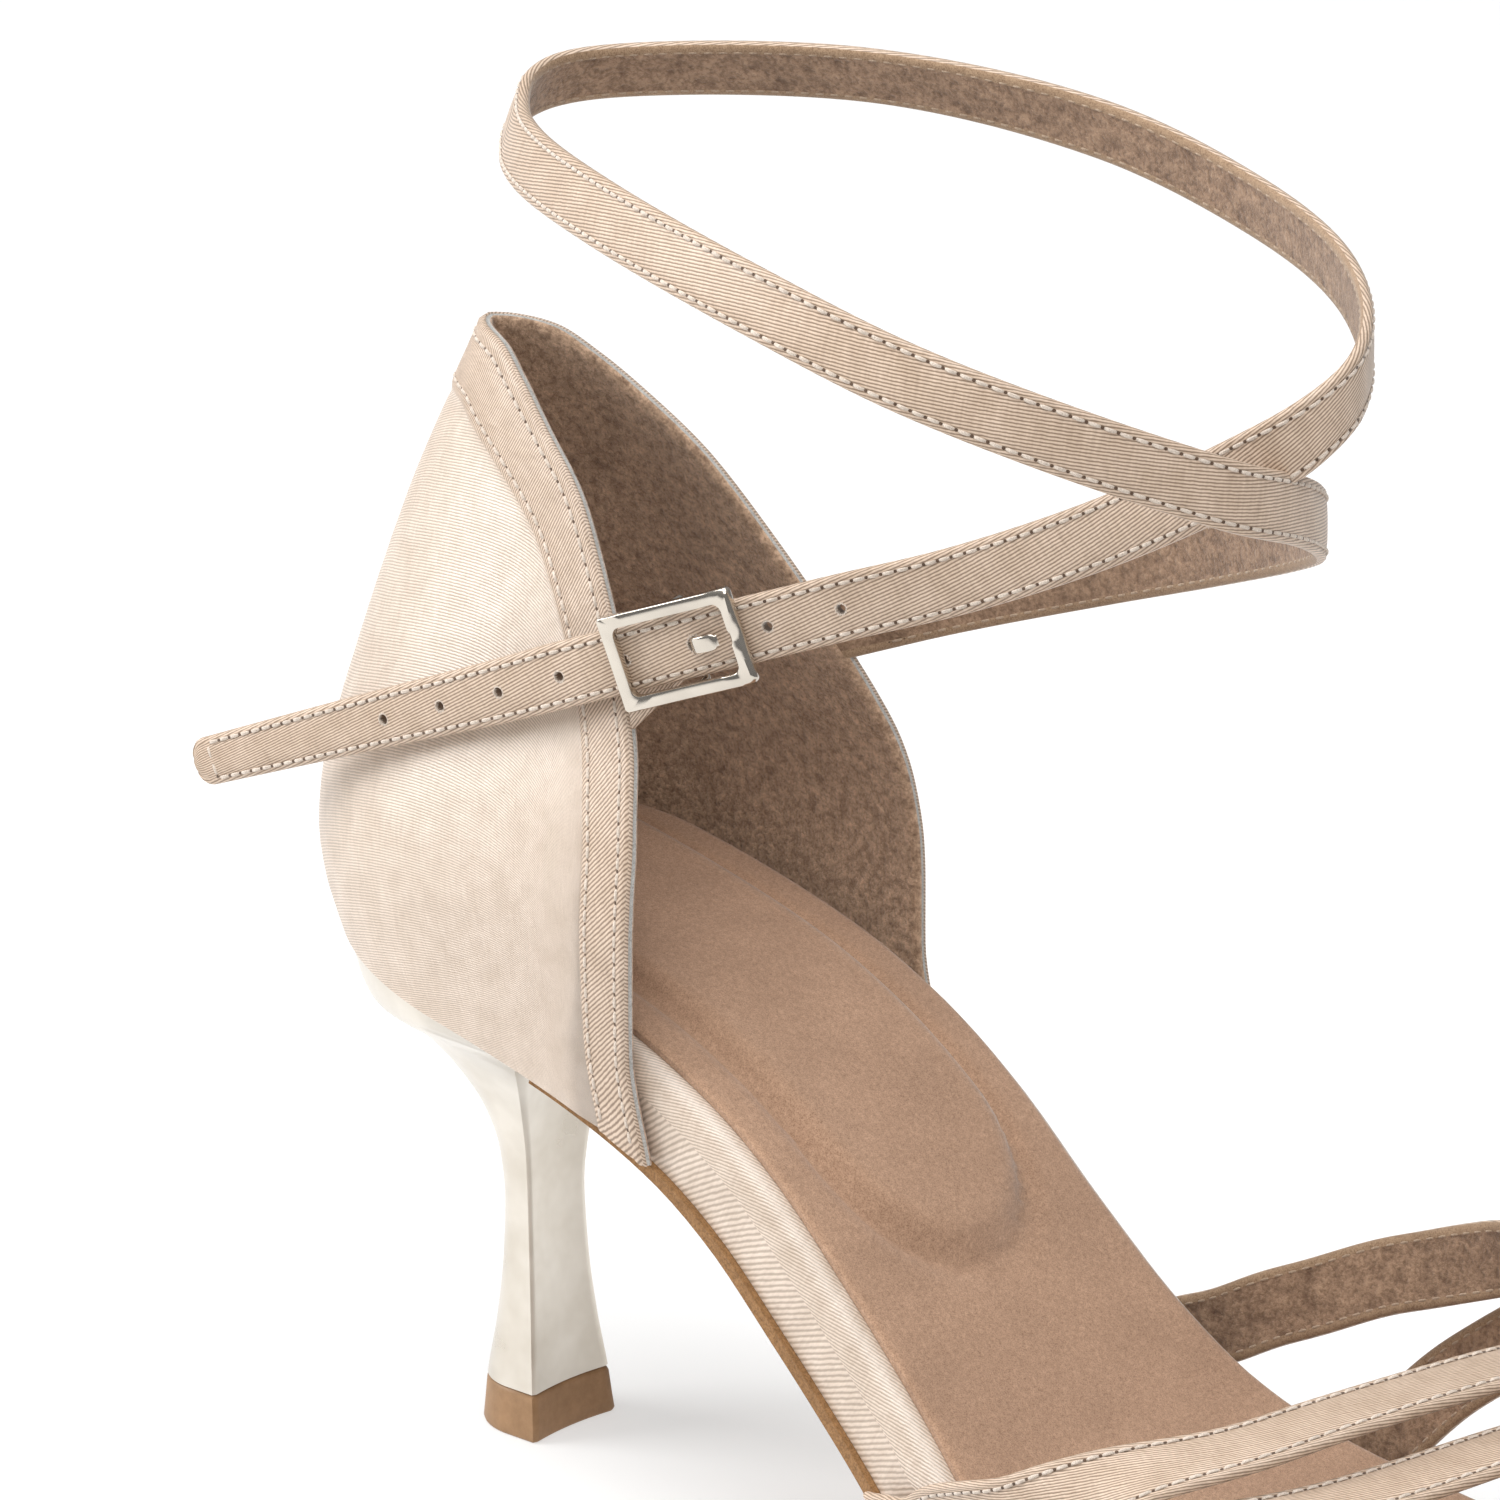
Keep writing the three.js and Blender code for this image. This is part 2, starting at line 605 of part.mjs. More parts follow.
function counterSizes(z) {
  const [back, half, widest] = counterColumns.map((read) => read(z / COUNTER_HEIGHT));
  return { back: back * COUNTER_HEIGHT, half: half * COUNTER_WIDTH, widest: widest * COUNTER_HEIGHT };
}

/** Point of the counter's outside: turn runs from the middle of the back to either side. */
function counterPoint(turn, z) {
  const { back, half, widest } = counterSizes(z);
  const reach = widest - back;
  const side = Math.abs(turn);
  const sign = turn < 0 ? -1 : 1;
  if (side <= 1) {
    const angle = (side * Math.PI) / 2;
    return new THREE.Vector3(widest - reach * Math.cos(angle), sign * half * Math.sin(angle), z);
  }
  const past = ((side - 1) * reach * Math.PI) / 2;
  return new THREE.Vector3(widest + past, sign * (half - COUNTER_SIDE_TAPER * past * past), z);
}

/** Turn at which the counter's outside reaches a place along the shoe. */
function counterTurn(x, z) {
  const { back, widest } = counterSizes(z);
  const reach = widest - back;
  if (x >= widest) return 1 + (x - widest) / ((reach * Math.PI) / 2);
  return (2 / Math.PI) * Math.acos(clamp((widest - x) / reach, -1, 1));
}

/** Outward direction of the counter's outside. */
function counterNormal(turn, z) {
  const step = 0.02;
  const along = counterPoint(turn + step, z).sub(counterPoint(turn - step, z));
  const up = counterPoint(turn, z + step * 20).sub(counterPoint(turn, z - step * 20));
  return up.cross(along).normalize();
}

const collarColumns = Object.fromEntries(
  ["edgeX", "edgeZ", "borderX", "borderZ", "foot"].map((name) => [name, column(COLLAR, name)]),
);

/** Turn and height of a place given in shares; the height never falls below the sole line. */
function counterSpot(x, z) {
  const height = Math.max(z, feather(x));
  return { turn: counterTurn(x, height), z: height };
}

/** Spots from the collar edge over the binding border to the foot of the counter. */
function counterRuling(row) {
  const read = (name) => COUNTER_HEIGHT * collarColumns[name](row);
  const edge = counterSpot(read("edgeX"), read("edgeZ"));
  const border = counterSpot(read("borderX"), read("borderZ"));
  const endX = FOOT_END * COUNTER_HEIGHT;
  const endTurn = counterTurn(endX, feather(endX));
  const turn = endTurn * collarColumns.foot(row);
  let z = SEAT_HEIGHT;
  for (let i = 0; i < 6; i += 1) z = feather(counterPoint(turn, z).x);
  return { edge, border, foot: { turn, z } };
}

const BINDING_ROWS = [0, 0.5, 1];
const WALL_ROWS = [0.06, 0.16, 0.28, 0.4, 0.52, 0.64, 0.76, 0.88, 1];
const RULINGS_PER_ROW = 2;

/** Outer and inner grids of the counter, mirrored from one half. */
function counterGrids() {
  const outer = [];
  const inner = [];
  const count = (COLLAR.length - 1) * RULINGS_PER_ROW;
  for (let k = -count; k <= count; k += 1) {
    const sign = k < 0 ? -1 : 1;
    const { edge, border, foot } = counterRuling(Math.abs(k) / RULINGS_PER_ROW);
    const mix = (a, b, s) => ({ turn: sign * lerp(a.turn, b.turn, s), z: lerp(a.z, b.z, s) });
    const spots = [
      ...BINDING_ROWS.map((s) => ({ ...mix(edge, border, s), raised: BINDING_STEP })),
      ...WALL_ROWS.map((s) => ({ ...mix(border, foot, s), raised: 0 })),
    ];
    const at = (spot, offset) =>
      counterPoint(spot.turn, spot.z).addScaledVector(counterNormal(spot.turn, spot.z), offset);
    outer.push(spots.map((spot) => at(spot, spot.raised)));
    inner.push(spots.map((spot) => at(spot, -COUNTER_WALL)));
  }
  return { outer, inner };
}

function makeCounter() {
  const { outer, inner } = counterGrids();
  return thickGrid(outer, inner);
}

// Ankle strap

const anklePoints = ANKLE_PATH.map(
  (row) => new THREE.Vector3(row.ahead * LOOP_REACH, row.aside * LOOP_SPREAD, row.above * LOOP_TOP),
);
const ankleCurve = new THREE.CatmullRomCurve3(anklePoints, false, "centripetal");
ankleCurve.arcLengthDivisions = 1200;
const ANKLE_LENGTH = ankleCurve.getLength();
const ankleLean = column(ANKLE_PATH, "lean");

/** Frame of the strap at a distance from its start: along, across and outward directions. */
function strapFrame(distance) {
  const u = clamp(distance / ANKLE_LENGTH, 0, 1);
  const t = ankleCurve.getUtoTmapping(u);
  const centre = ankleCurve.getPoint(t);
  const along = ankleCurve.getTangent(t);
  const up = new THREE.Vector3(0, 0, 1);
  const across = up.addScaledVector(along, -along.z).normalize();
  const lean = THREE.MathUtils.degToRad(ankleLean(t * (ANKLE_PATH.length - 1)));
  across.applyAxisAngle(along, lean);
  const outward = new THREE.Vector3().crossVectors(across, along).normalize();
  return { centre, along, across, outward };
}

const inStrap = ({ centre, along, across, outward }, a, b, c) =>
  centre.clone().addScaledVector(along, a).addScaledVector(across, b).addScaledVector(outward, c);

/** Half width of the strap, which narrows and rounds off at its free end. */
function strapHalfWidth(distance) {
  const left = ANKLE_LENGTH - distance;
  const half = STRAP_WIDTH / 2;
  if (left > STRAP_TAIL) return half;
  const narrow = lerp(half * 0.74, half, left / STRAP_TAIL);
  const corner = half * 0.45;
  if (left > corner) return narrow;
  return narrow - corner + Math.sqrt(corner ** 2 - (corner - left) ** 2);
}

const BUCKLE_AT = ANKLE_LENGTH - BUCKLE_FROM_END;
const holePlaces = Array.from(
  { length: HOLE_COUNT },
  (_, i) => BUCKLE_AT - PRONG_AT + HOLE_PITCH * (i - HOLES_BEFORE_PRONG),
);

/** Point just in front of the collar edge, at an offset from the middle of the wall. */
function beforeCollar(row, side, offset) {
  const { edge, border } = counterRuling(row);
  const mirror = new THREE.Vector3(1, side, 1);
  const tip = counterPoint(edge.turn, edge.z);
  const ahead = tip.clone().sub(counterPoint(border.turn, border.z)).normalize();
  const normal = counterNormal(edge.turn, edge.z);
  const middle = (BINDING_STEP - COUNTER_WALL) / 2;
  return tip.addScaledVector(normal, middle + offset).addScaledVector(ahead, GAP + 0.1).multiply(mirror);
}

function cylinderAt(frame, radius, length, sides) {
  const geometry = new THREE.CylinderGeometry(radius, radius, length, sides);
  const basis = new THREE.Matrix4().makeBasis(frame.along, frame.outward, frame.across.clone().negate());
  basis.setPosition(frame.centre);
  return geometry.applyMatrix4(basis);
}

function makeAnkleStrap() {
  const places = [
    ...levels(STRAP_WIDTH / 2, ANKLE_LENGTH - STRAP_WIDTH / 4, ANKLE_STEPS),
    ...[0.6, 0.3, 0.1, 0].map((s) => ANKLE_LENGTH - (s * STRAP_WIDTH) / 4),
  ];
  const grid = (c) => [
    [STRAP_LOW_ROW, STRAP_TOP_ROW].map((row) => beforeCollar(row, 1, c)),
    ...places.map((place) => {
      const frame = strapFrame(place);
      const half = strapHalfWidth(place);
      return [-half, half].map((b) => inStrap(frame, 0, b, c));
    }),
  ];
  let strap = solid(thickGrid(grid(STRAP_THICKNESS / 2), grid(-STRAP_THICKNESS / 2)));
  for (const place of holePlaces) {
    strap = strap.subtract(solid(cylinderAt(strapFrame(place), HOLE_RADIUS, STRAP_THICKNESS * 3, 8)));
  }
  return geometryOf(strap);
}

// Toe straps

const domeRise = column(DOME, "rise", "along");
const domeSkew = column(DOME, "skew", "along");
const strapCourse = {
  outer: column(STRAP_COURSE, "outer", "round"),
  inner: column(STRAP_COURSE, "inner", "round"),
};

/** Point on the top of the foot: round runs from 0 at the outer edge to 1 at the inner. */
function domePoint(x, round, offset) {
  const row = outlineRowAt(x);
  const outer = -BALL_WIDTH * outlineOuter(row) - TOE_CLEARANCE - offset;
  const inner = BALL_WIDTH * outlineInner(row) + TOE_CLEARANCE + offset;
  if (round <= 0) return new THREE.Vector3(x, outer, feather(x) + round * STRAP_HEM);
  if (round >= 1) return new THREE.Vector3(x, inner, feather(x) + (1 - round) * STRAP_HEM);
  const fore = round ** DOME_SPREAD;
  const angle = (Math.PI * fore) / (fore + (1 - round) ** DOME_SPREAD);
  const swing = Math.cos(angle);
  const crest = INSTEP_HEIGHT * domeRise(share(x));
  const height = crest * (1 - domeSkew(share(x)) * swing) + offset;
  return new THREE.Vector3(
    x,
    (outer + inner) / 2 - ((inner - outer) / 2) * swing,
    feather(x) + height * Math.sin(angle) ** DOME_POWER,
  );
}

function makeToeStrap({ from, to, side, layer }) {
  const start = SOLE_BACK + SOLE_LENGTH * from;
  const end = SOLE_BACK + SOLE_LENGTH * to;
  const half = TOE_STRAP_WIDTH / 2;
  const centre = (round) => lerp(start, end, strapCourse[side](round));
  const spot = (x, round, offset) => domePoint(x, side === "outer" ? round : 1 - round, offset);
  const lift = (round) => TOE_STRAP_THICKNESS * layer * Math.sin(Math.PI * clamp(round, 0, 1));
  const row = (round, offset) => {
    const step = 0.004;
    const x = centre(round);
    const tangent = spot(centre(round + step), round + step, 0)
      .sub(spot(centre(round - step), round - step, 0))
      .normalize();
    const ahead = spot(x + step, round, 0).sub(spot(x - step, round, 0)).divideScalar(2 * step);
    const over = spot(x, round + step, 0).sub(spot(x, round - step, 0)).divideScalar(2 * step);
    const normal = new THREE.Vector3().crossVectors(ahead, over).normalize();
    const across = new THREE.Vector3().crossVectors(normal, tangent).normalize();
    const aa = ahead.dot(ahead);
    const ab = ahead.dot(over);
    const bb = over.dot(over);
    const whole = aa * bb - ab * ab;
    const dx = (across.dot(ahead) * bb - across.dot(over) * ab) / whole;
    const dr = (across.dot(over) * aa - across.dot(ahead) * ab) / whole;
    return [-half, 0, half].map((b) => spot(x + dx * b, round + dr * b, offset + lift(round)));
  };
  const rounds = levels(-0.05, 1.05, TOE_STRAP_STEPS);
  return thickGrid(
    rounds.map((round) => row(round, TOE_STRAP_THICKNESS)),
    rounds.map((round) => row(round, 0)),
  );
}

function makeToeStraps() {
  const straps = TOE_STRAPS.map((strap) => solid(makeToeStrap(strap)));
  const joined = straps.reduce((all, strap) => all.add(strap));
  return geometryOf(joined.subtract(soleBlock(0, false)));
}

// Buckle

const buckleFrame = strapFrame(BUCKLE_AT);

/** Box in the buckle's own directions: along the strap, across it and outward. */
function buckleBox(a0, a1, b0, b1, c0, c1) {
  const box = new THREE.BoxGeometry(a1 - a0, b1 - b0, c1 - c0);
  box.translate((a0 + a1) / 2, (b0 + b1) / 2, (c0 + c1) / 2);
  return solid(toBuckle(box));
}

function toBuckle(geometry) {
  const { centre, along, across, outward } = buckleFrame;
  const basis = new THREE.Matrix4().makeBasis(along, across, outward).setPosition(centre);
  return geometry.applyMatrix4(basis);
}

function roundedPlate(length, height, radius, c0, c1) {
  const [x, y] = [length / 2, height / 2];
  const shape = new THREE.Shape();
  shape.moveTo(-x + radius, -y);
  shape.lineTo(x - radius, -y);
  shape.quadraticCurveTo(x, -y, x, -y + radius);
  shape.lineTo(x, y - radius);
  shape.quadraticCurveTo(x, y, x - radius, y);
  shape.lineTo(-x + radius, y);
  shape.quadraticCurveTo(-x, y, -x, y - radius);
  shape.lineTo(-x, -y + radius);
  shape.quadraticCurveTo(-x, -y, -x + radius, -y);
  const plate = new THREE.ExtrudeGeometry(shape, { depth: c1 - c0, bevelEnabled: false, curveSegments: 4 });
  return solid(toBuckle(plate.translate(0, 0, c0)));
}

const PLATE_UNDER = STRAP_THICKNESS / 2 + 0.35;
const BAR_CENTRE = -(STRAP_THICKNESS / 2 + 2.5 * GAP + TAB_THICKNESS + BAR_RADIUS);

function makeBuckleFrame() {
  const over = PLATE_UNDER + FRAME_THICKNESS;
  const plate = roundedPlate(FRAME_LENGTH, FRAME_HEIGHT, 1, PLATE_UNDER, over);
  const opening = [FRAME_LENGTH - 2 * FRAME_BAR, FRAME_HEIGHT - 2 * FRAME_BAR];
  const ring = plate.subtract(roundedPlate(...opening, 0.6, PLATE_UNDER - 1, over + 1));
  const outer = FRAME_HEIGHT / 2 - 0.1;
  const leg = STRAP_WIDTH / 2 + 0.4;
  const half = BAR_RADIUS;
  const low = BAR_CENTRE - half;
  const legs = [-1, 1].map((side) => {
    const [b0, b1] = side < 0 ? [-outer, -leg] : [leg, outer];
    return buckleBox(-half, half, b0, b1, low, PLATE_UNDER + FRAME_THICKNESS / 2);
  });
  const bar = buckleBox(-half, half, -outer, outer, low, BAR_CENTRE + half);
  return geometryOf([...legs, bar].reduce((all, piece) => all.add(piece), ring));
}

/** Flat shape in the plane along the strap and outward, pushed out across the strap. */
function acrossStrap(points, width, holes = []) {
  const shape = new THREE.Shape(points);
  shape.holes = holes.map((hole) => new THREE.Path(hole));
  const block = new THREE.ExtrudeGeometry(shape, { depth: width, bevelEnabled: false });
  block.translate(0, 0, -width / 2).rotateX(Math.PI / 2);
  return solid(toBuckle(block));
}

function ringPoints(radius, from, to, count) {
  return levels(from, to, count).map((angle) => {
    const turn = THREE.MathUtils.degToRad(angle);
    return new THREE.Vector2(radius * Math.cos(turn), BAR_CENTRE + radius * Math.sin(turn));
  });
}

/** Prong that wraps the bar, rises through a strap hole and points to the front bar. */
function makeProng() {
  const inner = BAR_RADIUS * Math.SQRT2 + BAR_CLEARANCE;
  const outer = inner + PRONG_THICKNESS;
  const half = PRONG_THICKNESS / 2;
  const ring = acrossStrap(ringPoints(outer, 0, 340, 14), PRONG_WIDTH, [ringPoints(inner, 0, 330, 11)]);
  const top = STRAP_THICKNESS / 2 + GAP;
  const arm = acrossStrap(
    [
      new THREE.Vector2(-inner - half, BAR_CENTRE),
      new THREE.Vector2(-inner * 0.8, BAR_CENTRE + inner),
      new THREE.Vector2(-PRONG_AT + half, -top),
      new THREE.Vector2(-PRONG_AT + half, top + 0.5),
      new THREE.Vector2(-PRONG_AT - half, top + 1.5),
      new THREE.Vector2(-PRONG_REACH + 0.3, top + 2.1),
      new THREE.Vector2(-PRONG_REACH, top + 1.8),
      new THREE.Vector2(-PRONG_REACH, top + 1.4),
      new THREE.Vector2(-PRONG_AT - 1.5, top + 0.9),
      new THREE.Vector2(-PRONG_AT - half, top),
      new THREE.Vector2(-PRONG_AT - half, -top - 0.2),
      new THREE.Vector2(-outer, BAR_CENTRE + 0.2),
    ],
    PRONG_WIDTH,
  );
  return geometryOf(ring.add(arm));
}

/** Short tab from the collar edge that loops around the bar of the buckle. */
function makeBuckleTab() {
  const inner = BAR_RADIUS * Math.SQRT2 + BAR_CLEARANCE;
  const outer = inner + TAB_THICKNESS;
  const tail = outer + 1;
  const loop = acrossStrap(
    [
      ...ringPoints(outer, 60, 300, 10),
      new THREE.Vector2(tail, BAR_CENTRE - TAB_THICKNESS / 2),
      new THREE.Vector2(tail, BAR_CENTRE + TAB_THICKNESS / 2),
    ],
    TAB_WIDTH,
    [ringPoints(inner, 0, 330, 11)],
  );
  const clear = inner + PRONG_THICKNESS + GAP;
  const slot = buckleBox(-outer * 2, clear, -TAB_SLOT / 2, TAB_SLOT / 2, BAR_CENTRE - outer * 2, 0);
  const half = TAB_WIDTH / 2;
  const at = (a, b, c) => inStrap(buckleFrame, a, b, BAR_CENTRE + c);
  const rows = (c) => [
    [at(clear, -half, c), at(clear, half, c)],
    [at(tail, -half, c), at(tail, half, c)],
    [TAB_LOW_ROW, TAB_TOP_ROW].map((row) => beforeCollar(row, -1, c)),
  ];
  const band = solid(thickGrid(rows(TAB_THICKNESS / 2), rows(-TAB_THICKNESS / 2)));
  return geometryOf(loop.subtract(slot).add(band));
}

const group = new THREE.Group();
group.name = "ballroom_dance_shoe";

function addPiece(name, geometry, material) {
  const body = geometry.index ? geometry.toNonIndexed() : geometry;
  body.computeVertexNormals();
  const mesh = new THREE.Mesh(body, material);
  mesh.name = name;
  group.add(mesh);
}

addPiece("outsole", makeOutsole(), SOLE_SUEDE);
addPiece("insole_board", makeBoard(), SATIN);
addPiece("sock", makeSock(), SUEDE);
addPiece("heel", makeHeel(), PLATED);
addPiece("heel_tip", makeHeelTip(), TIP_PLASTIC);
addPiece("counter", makeCounter(), SATIN);
addPiece("toe_straps", makeToeStraps(), SATIN);
addPiece("ankle_strap", makeAnkleStrap(), SATIN);
addPiece("buckle_tab", makeBuckleTab(), SATIN);
addPiece("buckle_frame", makeBuckleFrame(), NICKEL);
addPiece("buckle_prong", makeProng(), NICKEL);

export default group;
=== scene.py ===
"""Dresses the frame of a right ballroom dance shoe: satin, suede, plated heel and buckle."""

import logging
import math
import random
from bisect import bisect_right
from dataclasses import dataclass, field, fields
from enum import Enum, IntEnum
from typing import Callable, Sequence

import bpy
from mathutils import Matrix, Vector


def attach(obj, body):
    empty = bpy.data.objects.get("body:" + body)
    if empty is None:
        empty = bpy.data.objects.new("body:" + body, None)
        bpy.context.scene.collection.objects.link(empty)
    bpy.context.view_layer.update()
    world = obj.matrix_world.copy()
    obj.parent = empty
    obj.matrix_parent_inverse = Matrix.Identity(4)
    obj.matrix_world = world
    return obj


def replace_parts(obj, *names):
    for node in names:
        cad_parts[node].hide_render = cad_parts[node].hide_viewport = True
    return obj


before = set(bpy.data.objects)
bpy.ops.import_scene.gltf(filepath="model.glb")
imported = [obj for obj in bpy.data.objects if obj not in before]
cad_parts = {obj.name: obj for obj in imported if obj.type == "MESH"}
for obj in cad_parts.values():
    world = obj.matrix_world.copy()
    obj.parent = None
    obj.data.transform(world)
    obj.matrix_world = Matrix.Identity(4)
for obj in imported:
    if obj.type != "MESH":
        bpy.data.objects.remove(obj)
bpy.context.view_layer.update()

log = logging.getLogger("ballroom_dance_shoe")

MILLIMETRE = 0.001
TINY = 1e-9
Height = Callable[[float, float], float]
Place = Callable[[float, float], Vector]
Along = Callable[[float], tuple[Vector, Vector]]
Colour = tuple[float, float, float]
Grid = list[list[Vector]]
WHITE: Colour = (1, 1, 1)


class Side(Enum):
    """Side of the shoe, with its sign along Y."""

    OUTER = -1
    INNER = 1


class Cloth(IntEnum):
    """Place of a finish in the material slots of a sewn piece."""

    FACE = 0
    LINING = 1
    EDGE = 2
    BINDING = 3


def lerp(a: float, b: float, share: float) -> float:
    """Returns the value at a share of the way from a to b."""
    return a + (b - a) * share


def clamp(value: float, low: float, high: float) -> float:
    """Returns the value held between low and high."""
    return min(high, max(low, value))


def smooth(share: float) -> float:
    """Returns an eased share that starts and ends flat."""
    t = clamp(share, 0, 1)
    return t * t * (3 - 2 * t)


def spread(start: float, end: float, count: int) -> list[float]:
    """Returns count + 1 even values from start to end."""
    return [lerp(start, end, i / count) for i in range(count + 1)]


def nearest(points: Sequence[Vector], target: Vector) -> Vector:
    """Returns the first of the points that lie closest to a target."""
    gaps = [(point - target).length for point in points]
    return points[gaps.index(min(gaps))]


def relax(line: Sequence[Vector]) -> list[Vector]:
    """Returns a line whose inner points are averaged with their neighbours."""
    inner = [(a + b * 2 + c) / 4 for a, b, c in zip(line, line[1:], line[2:])]
    return [line[0], *inner, line[-1]]


def level(height: float) -> Height:
    """Returns a flat face at one height."""

    def at(x: float, y: float) -> float:
        """Returns that height at any place."""
        return height

    return at


class Column:
    """Smooth lookup in a table column that never overshoots its rows."""

    def __init__(self, places: Sequence[float], values: Sequence[float]) -> None:
        """Prepares the slopes.

        Args:
            places: rising positions of the rows.
            values: the column's value in each row.
        """
        self.places = list(places)
        self.values = list(values)
        gaps = [b - a for a, b in zip(self.places, self.places[1:])]
        steps = [(b - a) / gap for a, b, gap in zip(self.values, self.values[1:], gaps)]
        self.slopes = [steps[0]]
        for i in range(1, len(steps)):
            if steps[i - 1] * steps[i] <= 0:
                self.slopes.append(0.0)
                continue
            first = 2 * gaps[i] + gaps[i - 1]
            second = gaps[i] + 2 * gaps[i - 1]
            self.slopes.append((first + second) / (first / steps[i - 1] + second / steps[i]))
        self.slopes.append(steps[-1])

    def __call__(self, at: float) -> float:
        """Returns the value at a place."""
        x = clamp(at, self.places[0], self.places[-1])
        i = min(bisect_right(self.places, x) - 1, len(self.places) - 2)
        span = self.places[i + 1] - self.places[i]
        t = (x - self.places[i]) / span
        u = 1 - t
        return (
            u * u * (1 + 2 * t) * self.values[i]
            + t * t * (3 - 2 * t) * self.values[i + 1]
            + span * t * u * (u * self.slopes[i] - t * self.slopes[i + 1])
        )


# Finishes


class Shader:
    """Material under construction with helpers for its nodes."""

    def __init__(self, name: str) -> None:
        """Creates an empty material.

        Args:
            name: name of the finish.
        """
        self.material = bpy.data.materials.new(name)
        self.material.use_nodes = True
        self.tree = self.material.node_tree
        self.tree.nodes.clear()
        self.surface = self.add("ShaderNodeBsdfPrincipled")
        output = self.add("ShaderNodeOutputMaterial")
        self.join(self.surface, "BSDF", output, "Surface")
        self.coordinates = self.add("ShaderNodeTexCoord")

    def add(self, kind: str, **values: object) -> bpy.types.Node:
        """Adds a node and sets its properties.

        Args:
            kind: identifier of the node type.
            **values: properties of the node.

        Returns:
            The new node.
        """
        node = self.tree.nodes.new(kind)
        for key, value in values.items():
            setattr(node, key, value)
        return node

    def join(self, source: bpy.types.Node, out: str, target: bpy.types.Node, into: str) -> None:
        """Links an output to an input."""
        self.tree.links.new(source.outputs[out], target.inputs[into])

    def set(self, **values: object) -> None:
        """Sets constants on the shader, with underscores for spaces in socket names."""
        for key, value in values.items():
            self.surface.inputs[key.replace("_", " ")].default_value = value

    def noise(self, scale: float, detail: float = 4.0, rough: float = 0.55) -> bpy.types.Node:
        """Returns a noise in object space; scale counts features per metre."""
        node = self.add("ShaderNodeTexNoise")
        node.inputs["Scale"].default_value = scale
        node.inputs["Detail"].default_value = detail
        node.inputs["Roughness"].default_value = rough
        self.join(self.coordinates, "Object", node, "Vector")
        return node

    def ramp(self, source: bpy.types.Node, low: float, dark: Colour, high: float, light: Colour) -> bpy.types.Node:
        """Returns a colour ramp that reads a node's Fac output.

        Args:
            source: node whose output drives the ramp.
            low: place of the dark end.
            dark: colour up to there.
            high: place of the light end.
            light: colour from there on.
        """
        node = self.add("ShaderNodeValToRGB")
        for element, place, colour in zip(node.color_ramp.elements, (low, high), (dark, light)):
            element.position = place
            element.color = (*colour, 1)
        self.join(source, "Fac", node, "Fac")
        return node

    def darken(self, share: float, a: bpy.types.Node, b: bpy.types.Node) -> bpy.types.Node:
        """Returns the product of two nodes' colours.

        Args:
            share: share of the product that shows over the first colour.
            a: node with the first colour.
            b: node with the second colour.
        """
        node = self.add("ShaderNodeMixRGB", blend_type="MULTIPLY")
        node.inputs["Fac"].default_value = share
        self.join(a, "Color", node, "Color1")
        self.join(b, "Color", node, "Color2")
        return node

    def bump(
        self,
        source: bpy.types.Node,
        height: float,
        strength: float,
        below: bpy.types.Node | None = None,
    ) -> bpy.types.Node:
        """Adds relief and returns its node.

        Args:
            source: node whose Fac output is the height.
            height: depth of the relief in metres.
            strength: share of the relief that shows.
            below: earlier relief that this one lies on.
        """
        node = self.add("ShaderNodeBump")
        node.inputs["Strength"].default_value = strength
        node.inputs["Distance"].default_value = height
        self.join(source, "Fac", node, "Height")
        if below is not None:
            self.join(below, "Normal", node, "Normal")
        return node

    def gloss(self, source: bpy.types.Node, low: float, high: float) -> None:
        """Lets a pattern vary the roughness between two values."""
        node = self.add("ShaderNodeMapRange")
        node.inputs["To Min"].default_value = low
        node.inputs["To Max"].default_value = high
        self.join(source, "Fac", node, "Value")
        self.join(node, "Result", self.surface, "Roughness")

    def finish(self, colour: bpy.types.Node, relief: bpy.types.Node) -> bpy.types.Material:
        """Joins colour and relief to the surface and returns the material."""
        self.join(colour, "Color", self.surface, "Base Color")
        self.join(relief, "Normal", self.surface, "Normal")
        return self.material


